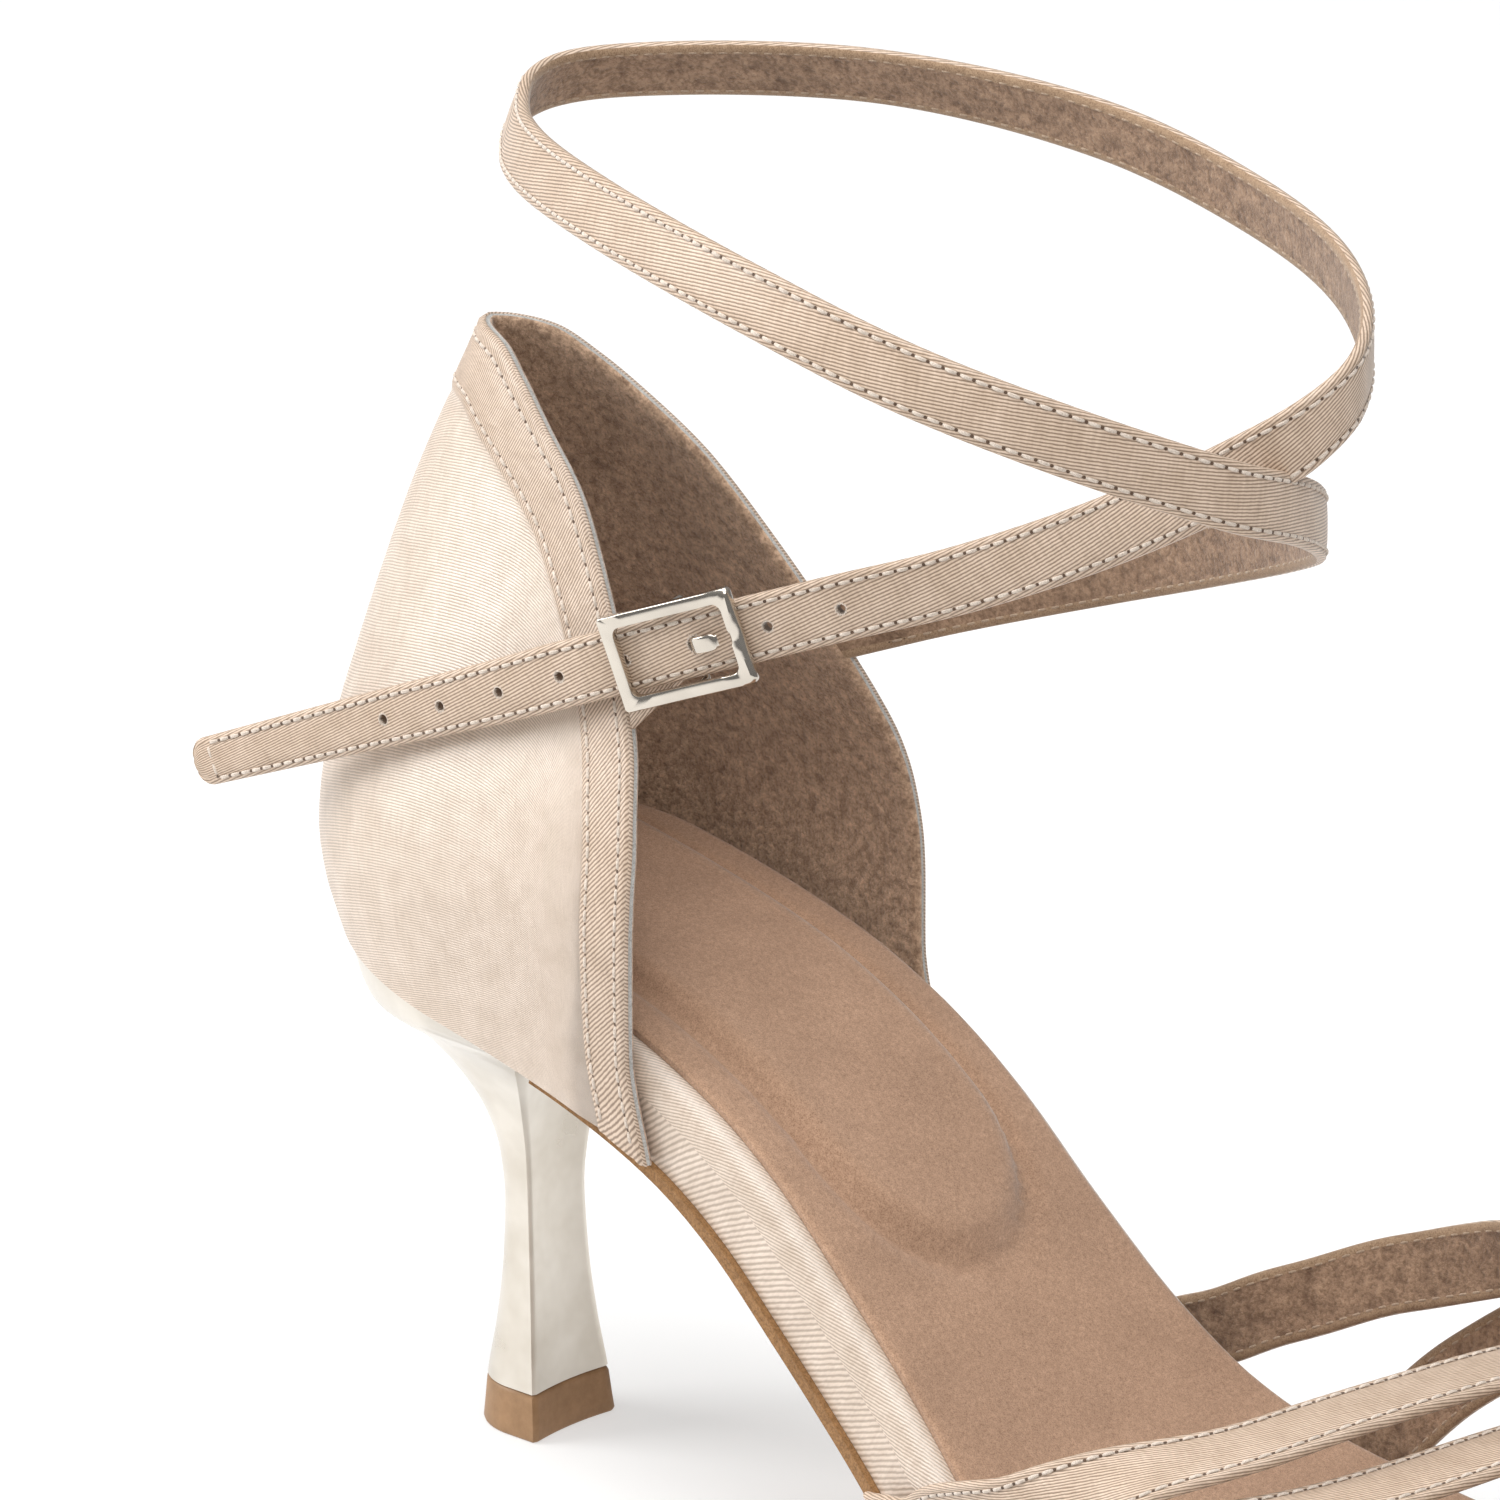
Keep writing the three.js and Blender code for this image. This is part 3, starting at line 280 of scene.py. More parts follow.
@dataclass(frozen=True)
class SatinFinish:
    """Satin woven in fine diagonal lines.

    The weave follows the piece's own cloth coordinates, one unit for each millimetre.
    The pitch is in those units too, while relief and ripple are in metres.
    """

    name: str
    light: Colour
    dark: Colour
    pitch: float
    angle: float
    relief: float = 0.00003
    ripple: float = 0.0006
    roughness: float = 0.4
    gloss: float = 1.0
    # Painted shade: colour that darkens the furrows between the twill threads.
    furrow_shade: Colour = (0.72, 0.7, 0.67)
    # Painted sheen: colour of the darker patches that mottle the satin's sheen.
    sheen_mottle: Colour = (0.88, 0.86, 0.83)

    def material(self) -> bpy.types.Material:
        """Returns the satin material."""
        shader = Shader(self.name)
        shader.set(Roughness=self.roughness, Specular_IOR_Level=self.gloss, IOR=1.6, Anisotropic=0.5)
        shader.set(Sheen_Weight=0.1, Sheen_Roughness=0.4)
        turn = shader.add("ShaderNodeMapping")
        turn.inputs["Rotation"].default_value = (0, 0, math.radians(self.angle))
        shader.join(shader.coordinates, "UV", turn, "Vector")
        weave = shader.add("ShaderNodeTexWave")
        weave.inputs["Scale"].default_value = 1 / (self.pitch * 3.2)
        weave.inputs["Distortion"].default_value = 1.2
        weave.inputs["Detail"].default_value = 2
        weave.inputs["Detail Scale"].default_value = 1.4
        shader.join(turn, "Vector", weave, "Vector")
        slub = shader.add("ShaderNodeTexNoise")
        slub.inputs["Scale"].default_value = 0.9
        slub.inputs["Detail"].default_value = 5
        stretch = shader.add("ShaderNodeMapping")
        stretch.inputs["Scale"].default_value = (0.35, 2.6, 1)
        shader.join(turn, "Vector", stretch, "Vector")
        shader.join(stretch, "Vector", slub, "Vector")
        tones = shader.ramp(slub, 0.25, self.dark, 0.72, self.light)
        # Twill lines with painted shade in the furrows between the threads.
        lines = shader.ramp(weave, 0.1, self.furrow_shade, 0.75, WHITE)
        # Painted sheen: broad patches a little darker, for the cloudy sheen of the satin; the same noise also ripples
        # the relief.
        sheen_mottle = shader.noise(260, 4, 0.6)
        painted_sheen = shader.ramp(sheen_mottle, 0.34, self.sheen_mottle, 0.64, WHITE)
        cloth = shader.darken(1.0, shader.darken(1.0, tones, lines), painted_sheen)
        threads = shader.bump(weave, self.relief, 0.8)
        ripples = shader.bump(sheen_mottle, self.ripple, 0.22, threads)
        return shader.finish(cloth, shader.bump(slub, 0.00005, 0.4, ripples))


@dataclass(frozen=True)
class NapFinish:
    """Suede or napped lining: soft pile with darker and lighter strokes."""

    name: str
    light: Colour
    dark: Colour
    grain: float
    relief: float
    sheen: float = 0.35

    def material(self) -> bpy.types.Material:
        """Returns the napped material."""
        shader = Shader(self.name)
        shader.set(Roughness=0.93, Sheen_Weight=self.sheen, Sheen_Roughness=0.5, Specular_IOR_Level=0.15)
        pile = shader.noise(self.grain, 6, 0.7)
        fibre = shader.noise(self.grain * 3.4, 3, 0.6)
        strokes = shader.noise(85, 4, 0.6)
        tones = shader.ramp(pile, 0.3, self.dark, 0.68, self.light)
        patches = shader.ramp(strokes, 0.32, (0.84, 0.83, 0.82), 0.66, WHITE)
        specks = shader.ramp(fibre, 0.36, (0.55, 0.51, 0.48), 0.56, WHITE)
        cloth = shader.darken(0.75, shader.darken(0.9, tones, patches), specks)
        low = shader.bump(pile, self.relief, 0.6)
        return shader.finish(cloth, shader.bump(fibre, self.relief * 0.4, 0.5, low))


@dataclass(frozen=True)
class PlatedFinish:
    """Metal plating with slight waves, small pits, a soft cast and painted mottled reflections."""

    name: str
    colour: Colour
    shade: Colour
    roughness: float
    waves: float

    def material(self) -> bpy.types.Material:
        """Returns the plated material."""
        shader = Shader(self.name)
        shader.set(Metallic=1.0, Coat_Weight=0.3, Coat_Roughness=0.12)
        cloud = shader.noise(120, 3, 0.5)
        fine = shader.noise(1400, 2, 0.5)
        shader.gloss(cloud, self.roughness * 0.75, self.roughness * 1.5)
        slow = shader.bump(cloud, self.waves, 0.35)
        # Painted reflection: cloud patches move the plating's colour toward the darker shade colour, for mottled
        # reflections.
        tones = shader.ramp(cloud, 0.3, self.shade, 0.65, self.colour)
        return shader.finish(tones, shader.bump(fine, 0.00002, 0.25, slow))


@dataclass(frozen=True)
class MouldedFinish:
    """Moulded plastic with faint scuffs and a paler rubbed tone."""

    name: str
    colour: Colour
    rubbed: Colour
    roughness: float = 0.5

    def material(self) -> bpy.types.Material:
        """Returns the moulded material."""
        shader = Shader(self.name)
        shader.set(Specular_IOR_Level=0.45)
        scuffs = shader.noise(420, 5, 0.65)
        shader.gloss(scuffs, self.roughness * 0.8, self.roughness * 1.2)
        tones = shader.ramp(scuffs, 0.35, self.colour, 0.75, self.rubbed)
        return shader.finish(tones, shader.bump(scuffs, 0.0001, 0.3))


@dataclass(frozen=True)
class Wardrobe:
    """All finishes of the shoe."""

    # The last colour given to each satin darkens the furrows of its weave: painted shade.
    satin: SatinFinish = SatinFinish(
        "nude_satin", (0.76, 0.635, 0.53), (0.65, 0.525, 0.43), 0.37, 62, furrow_shade=(0.58, 0.55, 0.51)
    )
    # Painted shade: a darker copy of the nude satin, for the binding strip.
    binding: SatinFinish = SatinFinish(
        "shaded_binding_satin", (0.72, 0.57, 0.45), (0.58, 0.445, 0.345), 0.4, -24, gloss=0.5, furrow_shade=(0.4, 0.36, 0.32)
    )
    # Painted shade: a darker copy of the nude satin, for the straps and the buckle tab.
    strap_satin: SatinFinish = SatinFinish(
        "strap_satin", (0.74, 0.585, 0.46), (0.6, 0.46, 0.355), 0.4, 101, gloss=0.35, furrow_shade=(0.4, 0.36, 0.32)
    )
    sock: NapFinish = NapFinish("sock_suede", (0.57, 0.365, 0.245), (0.4, 0.245, 0.158), 1700, 0.00014)
    lining: NapFinish = NapFinish("napped_lining", (0.46, 0.305, 0.2), (0.17, 0.1, 0.062), 560, 0.0007)
    # Painted light: a much lighter copy of the napped lining, for the inside of the counter, which lies in shade.
    brightened_cup: NapFinish = NapFinish("brightened_napped_cup", (0.84, 0.59, 0.41), (0.28, 0.175, 0.11), 760, 0.0008)
    tread: NapFinish = NapFinish("tread_suede", (0.38, 0.205, 0.085), (0.23, 0.115, 0.04), 1100, 0.00025, 0.2)
    core: NapFinish = NapFinish("collar_core", (0.62, 0.62, 0.6), (0.45, 0.45, 0.44), 1600, 0.00012)
    edging: NapFinish = NapFinish("folded_edge", (0.44, 0.305, 0.195), (0.3, 0.195, 0.12), 1600, 0.0001)
    thread: NapFinish = NapFinish("sewing_thread", (0.78, 0.69, 0.6), (0.64, 0.55, 0.47), 2600, 0.00005)
    back_thread: NapFinish = NapFinish("lining_thread", (0.5, 0.38, 0.28), (0.38, 0.28, 0.2), 2600, 0.00005)
    needle: NapFinish = NapFinish("needle_shadow", (0.15, 0.095, 0.065), (0.1, 0.065, 0.045), 1600, 0.00002)
    heel: PlatedFinish = PlatedFinish("heel_plating", (0.75, 0.7, 0.625), (0.6, 0.545, 0.465), 0.27, 0.0004)
    nickel: PlatedFinish = PlatedFinish("buckle_nickel", (0.66, 0.605, 0.53), (0.55, 0.5, 0.435), 0.13, 0.0001)
    tip: MouldedFinish = MouldedFinish("tip_plastic", (0.27, 0.15, 0.068), (0.38, 0.22, 0.11))


class Rack:
    """Materials of the finishes, made once."""

    def __init__(self, wardrobe: Wardrobe) -> None:
        """Makes every material."""
        self.made = {part.name: getattr(wardrobe, part.name).material() for part in fields(wardrobe)}

    def pick(self, *names: str) -> list[bpy.types.Material]:
        """Returns the materials with these names, in slot order."""
        return [self.made[name] for name in names]

    def counter(self) -> list[bpy.types.Material]:
        """Returns the finishes of the counter: face, lining lightened with painted light, collar core and binding."""
        return self.pick("satin", "brightened_cup", "core", "binding")

    def strap(self) -> list[bpy.types.Material]:
        """Returns the finishes of a sewn strap: face, lining and folded edge."""
        return self.pick("strap_satin", "lining", "edging")


# Meshes


def shade(mesh: bpy.types.Mesh, sharp: float) -> None:
    """Shades a mesh smooth, apart from edges bent by more than an angle in degrees."""
    mesh.polygons.foreach_set("use_smooth", [True] * len(mesh.polygons))
    mesh.set_sharp_from_angle(angle=math.radians(sharp))


@dataclass
class Draft:
    """Faces gathered in millimetres before they become one object."""

    points: list[Vector] = field(default_factory=list)
    faces: list[tuple[int, ...]] = field(default_factory=list)
    cloth: list[tuple[tuple[float, float], ...]] = field(default_factory=list)
    slots: list[int] = field(default_factory=list)

    def face(self, corners: Sequence[int], cloth: Sequence[tuple[float, float]], slot: int) -> None:
        """Adds a face with its cloth coordinates and material slot."""
        self.faces.append(tuple(corners))
        self.cloth.append(tuple(cloth))
        self.slots.append(slot)

    def sheet(
        self,
        rows: Sequence[Sequence[Vector]],
        slot: int | Sequence[int] = Cloth.FACE,
        flip: bool = False,
        ring: bool = False,
    ) -> list[list[int]]:
        """Adds a grid of quads, with cloth coordinates measured along it.

        Args:
            rows: rows of points with the same count.
            slot: material slot, or the slot of each column of faces.
            flip: turns the faces round.
            ring: joins each row's end to its start.

        Returns:
            Indices of the points, row by row.
        """
        start = len(self.points)
        count = len(rows[0])
        for row in rows:
            self.points.extend(row)
        index = [[start + i * count + j for j in range(count)] for i in range(len(rows))]
        middle = count // 2
        along = [0.0]
        for before, after in zip(rows, rows[1:]):
            along.append(along[-1] + (after[middle] - before[middle]).length)
        half = rows[len(rows) // 2]
        across = [0.0]
        for j in range(1, count + 1):
            across.append(across[-1] + (half[j % count] - half[j - 1]).length)
        width = count if ring else count - 1
        for i in range(len(rows) - 1):
            for j in range(width):
                k = (j + 1) % count
                corners = [index[i][j], index[i + 1][j], index[i + 1][k], index[i][k]]
                cloth = [
                    (along[i], across[j]),
                    (along[i + 1], across[j]),
                    (along[i + 1], across[j + 1]),
                    (along[i], across[j + 1]),
                ]
                if flip:
                    corners.reverse()
                    cloth.reverse()
                self.face(corners, cloth, slot if isinstance(slot, int) else slot[j])
        return index

    def cap(self, ring: Sequence[int], flip: bool = False) -> None:
        """Closes a ring of points with one face of the first finish."""
        corners = list(reversed(ring)) if flip else list(ring)
        self.face(corners, [(self.points[i].x, self.points[i].y) for i in corners], Cloth.FACE)

    def skin(
        self,
        rows: Sequence[Sequence[Vector]],
        slot: int | Sequence[int] = Cloth.FACE,
        flip: bool = False,
    ) -> None:
        """Adds a closed body through rings of points, with a cap on each end."""
        index = self.sheet(rows, slot, flip=flip, ring=True)
        self.cap(index[0])
        self.cap(index[-1], flip=True)

    def tube(
        self,
        line: Sequence[Vector],
        radii: Sequence[tuple[float, float]],
        ups: Sequence[Vector],
        sides: int = 8,
        square: float = 1.0,
    ) -> None:
        """Adds a closed tube of oval section along a line.

        Args:
            line: centres of the sections.
            radii: half width and half height of each section.
            ups: direction of the half height of each section.
            sides: corners of a section.
            square: 1 for an oval section, less for a squarer one.
        """

        def bent(value: float) -> float:
            """Returns a sine or cosine pushed toward the corners of the section."""
            return math.copysign(abs(value) ** square, value)

        rows = []
        for i, centre in enumerate(line):
            ahead = (line[min(i + 1, len(line) - 1)] - line[max(i - 1, 0)]).normalized()
            side = ahead.cross(ups[i]).normalized()
            up = side.cross(ahead).normalized()
            wide, tall = radii[i]
            angles = [2 * math.pi * k / sides for k in range(sides)]
            rows.append([centre + side * wide * bent(math.cos(a)) + up * tall * bent(math.sin(a)) for a in angles])
        self.skin(rows, flip=True)

    def mesh(self, name: str) -> bpy.types.Mesh:
        """Returns a bare mesh of the faces, in metres."""
        mesh = bpy.data.meshes.new(name)
        mesh.from_pydata([p * MILLIMETRE for p in self.points], [], self.faces)
        return mesh

    def face_out(self) -> None:
        """Turns all faces round if they point inward."""
        volume = sum(
            self.points[f[0]].dot(self.points[f[k]].cross(self.points[f[k + 1]]))
            for f in self.faces
            for k in range(1, len(f) - 1)
        )
        if volume < 0:
            self.faces = [tuple(reversed(f)) for f in self.faces]
            self.cloth = [tuple(reversed(c)) for c in self.cloth]

    def take(self, part: "Draft") -> None:
        """Adds the faces of another draft."""
        start = len(self.points)
        self.points += part.points
        for corners, spots, slot in zip(part.faces, part.cloth, part.slots):
            self.face([c + start for c in corners], spots, slot)

    def dress(
        self,
        name: str,
        finishes: Sequence[bpy.types.Material],
        shoe_slot: str,
        sharp: float = 50.0,
    ) -> bpy.types.Object:
        """Makes the object, lets it ride on the shoe and gives it its finishes.

        Args:
            name: name of the piece.
            finishes: materials in slot order.
            shoe_slot: not used.
            sharp: edges bent by more degrees than this stay sharp.

        Returns:
            The new object.
        """
        mesh = self.mesh(name)
        layer = mesh.uv_layers.new(name="cloth")
        flat = [value for face in self.cloth for corner in face for value in corner]
        layer.data.foreach_set("uv", flat)
        mesh.polygons.foreach_set("material_index", self.slots)
        for finish in finishes:
            mesh.materials.append(finish)
        mesh.validate()
        shade(mesh, sharp)
        piece = bpy.data.objects.new(name, mesh)
        bpy.context.scene.collection.objects.link(piece)
        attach(piece, "root")
        log.info("%s: %d faces", name, len(self.faces))
        return piece


class Path:
    """Polyline with outward directions, read by distance."""

    def __init__(self, line: Sequence[Vector], outs: Sequence[Vector] = ()) -> None:
        """Measures the line.

        Args:
            line: points in order.
            outs: outward direction at each point, where they are read.
        """
        self.line, self.outs = list(line), list(outs)
        self.places = [0.0]
        for a, b in zip(self.line, self.line[1:]):
            self.places.append(self.places[-1] + (b - a).length)
        self.length = self.places[-1]

    def find(self, distance: float) -> tuple[int, float]:
        """Returns the piece of the line at a distance and the share of the way through it."""
        d = clamp(distance, 0, self.length)
        i = min(bisect_right(self.places, d) - 1, len(self.line) - 2)
        return i, (d - self.places[i]) / max(self.places[i + 1] - self.places[i], TINY)

    def point(self, distance: float) -> Vector:
        """Returns the point at a distance."""
        i, t = self.find(distance)
        return self.line[i].lerp(self.line[i + 1], t)

    def spot(self, distance: float) -> tuple[Vector, Vector]:
        """Returns point and outward direction at a distance."""
        i, t = self.find(distance)
        return self.point(distance), self.outs[i].lerp(self.outs[i + 1], t).normalized()


@dataclass
class Sewing:
    """Rows of thread with needle holes between the stitches.

    The bow gives a stitch's shape: share of its length, rise and thickness in thread radii.
    """

    pitch: float = 1.85
    length: float = 1.38
    radius: float = 0.2
    hole: float = 0.25
    hole_corners: int = 8
    bow: tuple[tuple[float, float, float], ...] = (
        (0, -0.5, 0.55),
        (0.14, 0.25, 0.9),
        (0.5, 0.5, 1),
        (0.86, 0.25, 0.9),
        (1, -0.5, 0.55),
    )
    thread: Draft = field(default_factory=Draft)
    holes: Draft = field(default_factory=Draft)

    def row(self, spot: Along, start: float, end: float) -> None:
        """Sews one row.

        Args:
            spot: gives the point of the surface and its outward direction at a distance.
            start: distance where the row starts.
            end: distance where it ends.
        """
        count = max(1, round((end - start) / self.pitch))
        pitch = (end - start) / count
        length = self.length * pitch / self.pitch
        for k in range(count):
            middle = start + pitch * (k + 0.5)
            self.stitch(spot, middle - length / 2, middle + length / 2)
            self.needle_hole(spot, start + pitch * k)

    def stitch(self, spot: Along, start: float, end: float) -> None:
        """Adds one raised stitch whose ends sink into the cloth."""
        line, radii, ups = [], [], []
        for share, rise, thick in self.bow:
            point, out = spot(lerp(start, end, share))
            line.append(point + out * self.radius * rise)
            radii.append((self.radius * thick * 1.15, self.radius * thick * 0.85))
            ups.append(out)
        self.thread.tube(line, radii, ups, sides=6)

    def needle_hole(self, spot: Along, at: float) -> None:
        """Adds the small dark dent of a needle hole, a disc whose dark colour is a painted shadow."""
        point, out = spot(at)
        ahead = (spot(at + 0.2)[0] - spot(at - 0.2)[0]).normalized()
        side = out.cross(ahead).normalized()
        start, count = len(self.holes.points), self.hole_corners
        for k in range(count):
            angle = 2 * math.pi * k / count
            edge = ahead * self.hole * 0.9 * math.cos(angle) + side * self.hole * 0.8 * math.sin(angle)
            self.holes.points.append(point + edge + out * 0.02)
        self.holes.points.append(point + out * 0.05)
        for k in range(count):
            corners = [start + k, start + (k + 1) % count, start + count]
            self.holes.face(corners, [(0, 0), (1, 0), (0, 1)], Cloth.FACE)

    def finish(self, name: str, finishes: Rack, thread: str = "thread") -> None:
        """Makes the two objects of the sewn rows."""
        self.thread.dress(name + "_stitches", finishes.pick(thread), "satin")
        self.holes.dress(name + "_needle_hole_shadows", finishes.pick("needle"), "satin")


def back_sewing() -> Sewing:
    """Returns the finer sewing that shows on the lining."""
    return Sewing(length=1.15, radius=0.14, hole=0.15)


# Sole


@dataclass
class Last:
    """Sole line and outline that every piece of the shoe follows, in millimetres."""

    length: float = 228
    back: float = -23.7
    ball_width: float = 78
    seat_height: float = 68
    board: float = 10.2
    reach: float = 8.0
    border_steps: int = 8
    profile: tuple[tuple[float, float, float], ...] = (
        (-0.02, 0.9957, 1),
        (0, 0.9887, 1),
        (0.06, 0.9607, 1),
        (0.122, 0.9247, 1),
        (0.192, 0.8717, 1),
        (0.244, 0.8207, 1),
        (0.297, 0.7467, 0.96),
        (0.341, 0.6517, 0.93),
        (0.393, 0.4997, 0.91),
        (0.446, 0.3467, 0.87),
        (0.498, 0.2147, 0.83),
        (0.551, 0.1187, 0.8),
        (0.603, 0.0567, 0.76),
        (0.647, 0.0279, 0.72),
        (0.69, 0.0235, 0.7),
        (0.735, 0.0235, 0.68),
        (0.775, 0.0235, 0.66),
        (0.815, 0.0297, 0.65),
        (0.875, 0.0577, 0.61),
        (0.94, 0.1047, 0.57),
        (1.01, 0.1717, 0.53),
    )
    outline: tuple[tuple[float, float, float], ...] = (
        (0.0136, 0.0282, 0.0282),
        (0.0175, 0.0667, 0.0667),
        (0.0285, 0.1385, 0.1385),
        (0.0522, 0.2115, 0.2115),
        (0.0908, 0.2756, 0.2756),
        (0.1303, 0.3038, 0.3038),
        (0.1917, 0.3077, 0.3077),
        (0.2531, 0.3077, 0.3077),
        (0.314, 0.3077, 0.3077),
        (0.376, 0.316, 0.306),
        (0.433, 0.332, 0.314),
        (0.49, 0.37, 0.344),
        (0.543, 0.418, 0.392),
        (0.595, 0.461, 0.449),
        (0.648, 0.489, 0.487),
        (0.7, 0.495, 0.505),
        (0.753, 0.477, 0.508),
        (0.806, 0.436, 0.49),
        (0.858, 0.372, 0.451),
        (0.911, 0.277, 0.385),
        (0.95, 0.174, 0.315),
        (0.981, 0.064, 0.237),
        (0.996, -0.032, 0.167),
        (1, -0.07, 0.128),
    )

    def __post_init__(self) -> None:
        """Prepares the columns of both tables."""
        along = [row[0] for row in self.profile]
        self.up = Column(along, [row[1] for row in self.profile])
        self.thick = Column(along, [row[2] for row in self.profile])
        rows = range(len(self.outline))
        self.along, self.outer, self.inner = (Column(rows, [row[k] for row in self.outline]) for k in range(3))
        self.last_row = len(self.outline) - 1
        self.border = []
        for side in Side:
            points = [self.edge(i / self.border_steps, side, 0) for i in range(self.last_row * self.border_steps + 1)]
            self.border += zip(points, points[1:])

    def share(self, x: float) -> float:
        """Returns the place along the sole as a share of its length."""
        return (x - self.back) / self.length

    def feather(self, x: float) -> float:
        """Returns the height of the board's underside."""
        return self.seat_height * self.up(self.share(x))

    def thickness(self, x: float) -> float:
        """Returns the thickness of the board."""
        return self.board * self.thick(self.share(x))

    def over(self, x: float, y: float, height: float) -> Vector:
        """Returns the point at a height over the underside, measured square to it."""
        rise = self.feather(x + 0.5) - self.feather(x - 0.5)
        size = math.hypot(1, rise)
        return Vector((x - height * rise / size, y, self.feather(x) + height / size))

    def edge(self, row: float, side: Side, inset: float) -> Vector:
        """Returns a point of the outline on one side, moved inward by an inset."""
        reach = self.outer if side is Side.OUTER else self.inner

        def at(r: float) -> Vector:
            """Returns the outline at a row."""
            return Vector((self.back + self.length * self.along(r), side.value * self.ball_width * reach(r)))

        ahead = (at(min(row + 0.2, self.last_row)) - at(max(row - 0.2, 0))).normalized()
        inward = Vector((ahead.y, -ahead.x)) * side.value
        return at(row) + inward * inset

    def row_at(self, x: float) -> float:
        """Returns the row of the outline that reaches a place."""
        low, high = 0.0, float(self.last_row)
        for _ in range(40):
            mid = (low + high) / 2
            if self.along(mid) < self.share(x):
                low = mid
            else:
                high = mid
        return low

    def border_distance(self, x: float, y: float) -> float:
        """Returns the distance in plan to the outline, or the reach where it is farther."""
        nearest = self.reach
        for a, b in self.border:
            if min(a.x, b.x) - x > nearest or x - max(a.x, b.x) > nearest:
                continue
            run_x, run_y = b.x - a.x, b.y - a.y
            share = clamp(((x - a.x) * run_x + (y - a.y) * run_y) / max(run_x**2 + run_y**2, TINY), 0, 1)
            nearest = min(nearest, math.hypot(a.x + run_x * share - x, a.y + run_y * share - y))
        return nearest

    def layer(
        self,
        first: float,
        per_row: int,
        inset: float,
        near: Sequence[float],
        middle: int,
        steps: int,
        under: Height,
        over: Height,
    ) -> Draft:
        """Builds a layer of the sole between two heights.

        Args:
            first: row of the outline where the layer starts.
            per_row: stations for each row.
            inset: distance from the outline.
            near: distances of the columns that follow the edge.
            middle: count of the other columns.
            steps: rows of faces on the wall.
            under: height of the lower face at a place.
            over: height of the upper face at a place.

        Returns:
            Draft of the two faces and the wall around them.
        """
        count = math.ceil((self.last_row - first) * per_row)
        tops, bottoms = [], []
        for i in range(count + 1):
            row = lerp(first, self.last_row, i / count)
            a, b = self.edge(row, Side.OUTER, inset), self.edge(row, Side.INNER, inset)
            width = (b - a).length
            close = [min(n, width * 0.35 * n / near[-1]) / width for n in near]
            rest = [lerp(close[-1], 1 - close[-1], (k + 1) / (middle + 1)) for k in range(middle)]
            shares = [*close, *rest, *[1 - s for s in reversed(close)]]
            spots = [a.lerp(b, s) for s in shares]
            tops.append([self.over(p.x, p.y, over(p.x, p.y)) for p in spots])
            bottoms.append([self.over(p.x, p.y, under(p.x, p.y)) for p in spots])
        draft = Draft()
        draft.sheet(tops)
        draft.sheet(bottoms, flip=True)
        ends, sides = len(tops) - 1, len(tops[0]) - 1
        ring = [(i, 0) for i in range(ends)] + [(ends, j) for j in range(sides)]
        ring += [(i, sides) for i in range(ends, 0, -1)] + [(0, j) for j in range(sides, 0, -1)]
        first = len(draft.cloth)
        draft.sheet([[tops[i][j].lerp(bottoms[i][j], s) for i, j in ring] for s in spread(0, 1, steps)], ring=True)
        for k in range(first, len(draft.cloth)):
            draft.cloth[k] = tuple((across, -along) for along, across in draft.cloth[k])
        return draft


@dataclass
class Footbed:
    """Wrapped board, suede sock with its heel pad, and the thin tread."""

    last: Last
    edge_radius: float = 3.6
    outsole: float = 1.3
    outsole_rim: float = 0.9
    outsole_start: float = 24.8
    sock: float = 1.2
    sock_inset: float = 3.2
    pad_rise: float = 2.0
    pad_half_width: float = 14.5
    pad_end: float = 68
    pad_slope: float = 2.3
    groove: float = 0.9
    groove_width: float = 1.0
    sock_round: float = 1.2
    sock_fall: float = 0.45
    sock_room: float = 0.05
    tread_room: float = 0.05
    gap: float = 0.3

    def board_height(self, x: float, y: float) -> float:
        """Returns the height of the wrapped board with its rolled edge."""
        away = min(self.last.border_distance(x, y), self.edge_radius)
        fall = self.edge_radius - math.sqrt(self.edge_radius**2 - (self.edge_radius - away) ** 2)
        return self.last.thickness(x) - fall

    def pad(self, x: float, y: float) -> float:
        """Returns the rise of the heel pad, with the shallow groove around it."""
        beyond = max(0.0, x - (self.pad_end - self.pad_half_width))
        away = self.pad_half_width - math.hypot(beyond, y)
        groove = self.groove * math.exp(-((away / self.groove_width) ** 2))
        return self.pad_rise * smooth(away / self.pad_slope) - groove

    def sock_height(self, x: float, y: float) -> float:
        """Returns the height of the sock's face with its rounded rim."""
        away = clamp((self.last.border_distance(x, y) - self.sock_inset) / self.sock_round, 0, 1)
        rim = self.sock_fall * (1 - math.sqrt(1 - (1 - away) ** 2))
        return self.last.thickness(x) + self.gap + self.sock * 0.75 - rim + self.pad(x, y)

    def sock_floor(self, x: float, y: float) -> float:
        """Returns the height of the sock's underside."""
        return self.last.thickness(x) + self.sock_room

    def build(self, finishes: Rack) -> None:
        """Builds the three pieces."""
        roll = [self.edge_radius * (1 - math.cos(math.pi * k / 20)) for k in range(11)]
        draft = self.last.layer(0, 6, 0, roll, 6, 8, level(0), self.board_height)
        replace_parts(draft.dress("wrapped_board", finishes.pick("satin"), "satin", 80), "insole_board")
        rim = [0, 0.15, 0.4, 0.8, self.sock_round]
        draft = self.last.layer(0.5, 8, self.sock_inset, rim, 44, 3, self.sock_floor, self.sock_height)
        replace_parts(draft.dress("suede_sock", finishes.pick("sock"), "sock_suede", 80), "sock")
        first = self.last.row_at(self.outsole_start)
        low, high = level(-self.gap - self.outsole), level(-self.tread_room)
        draft = self.last.layer(first, 6, -self.outsole_rim, [0, 0.3, 0.8], 10, 3, low, high)
        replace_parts(draft.dress("suede_tread", finishes.pick("tread"), "sole_suede", 60), "outsole")


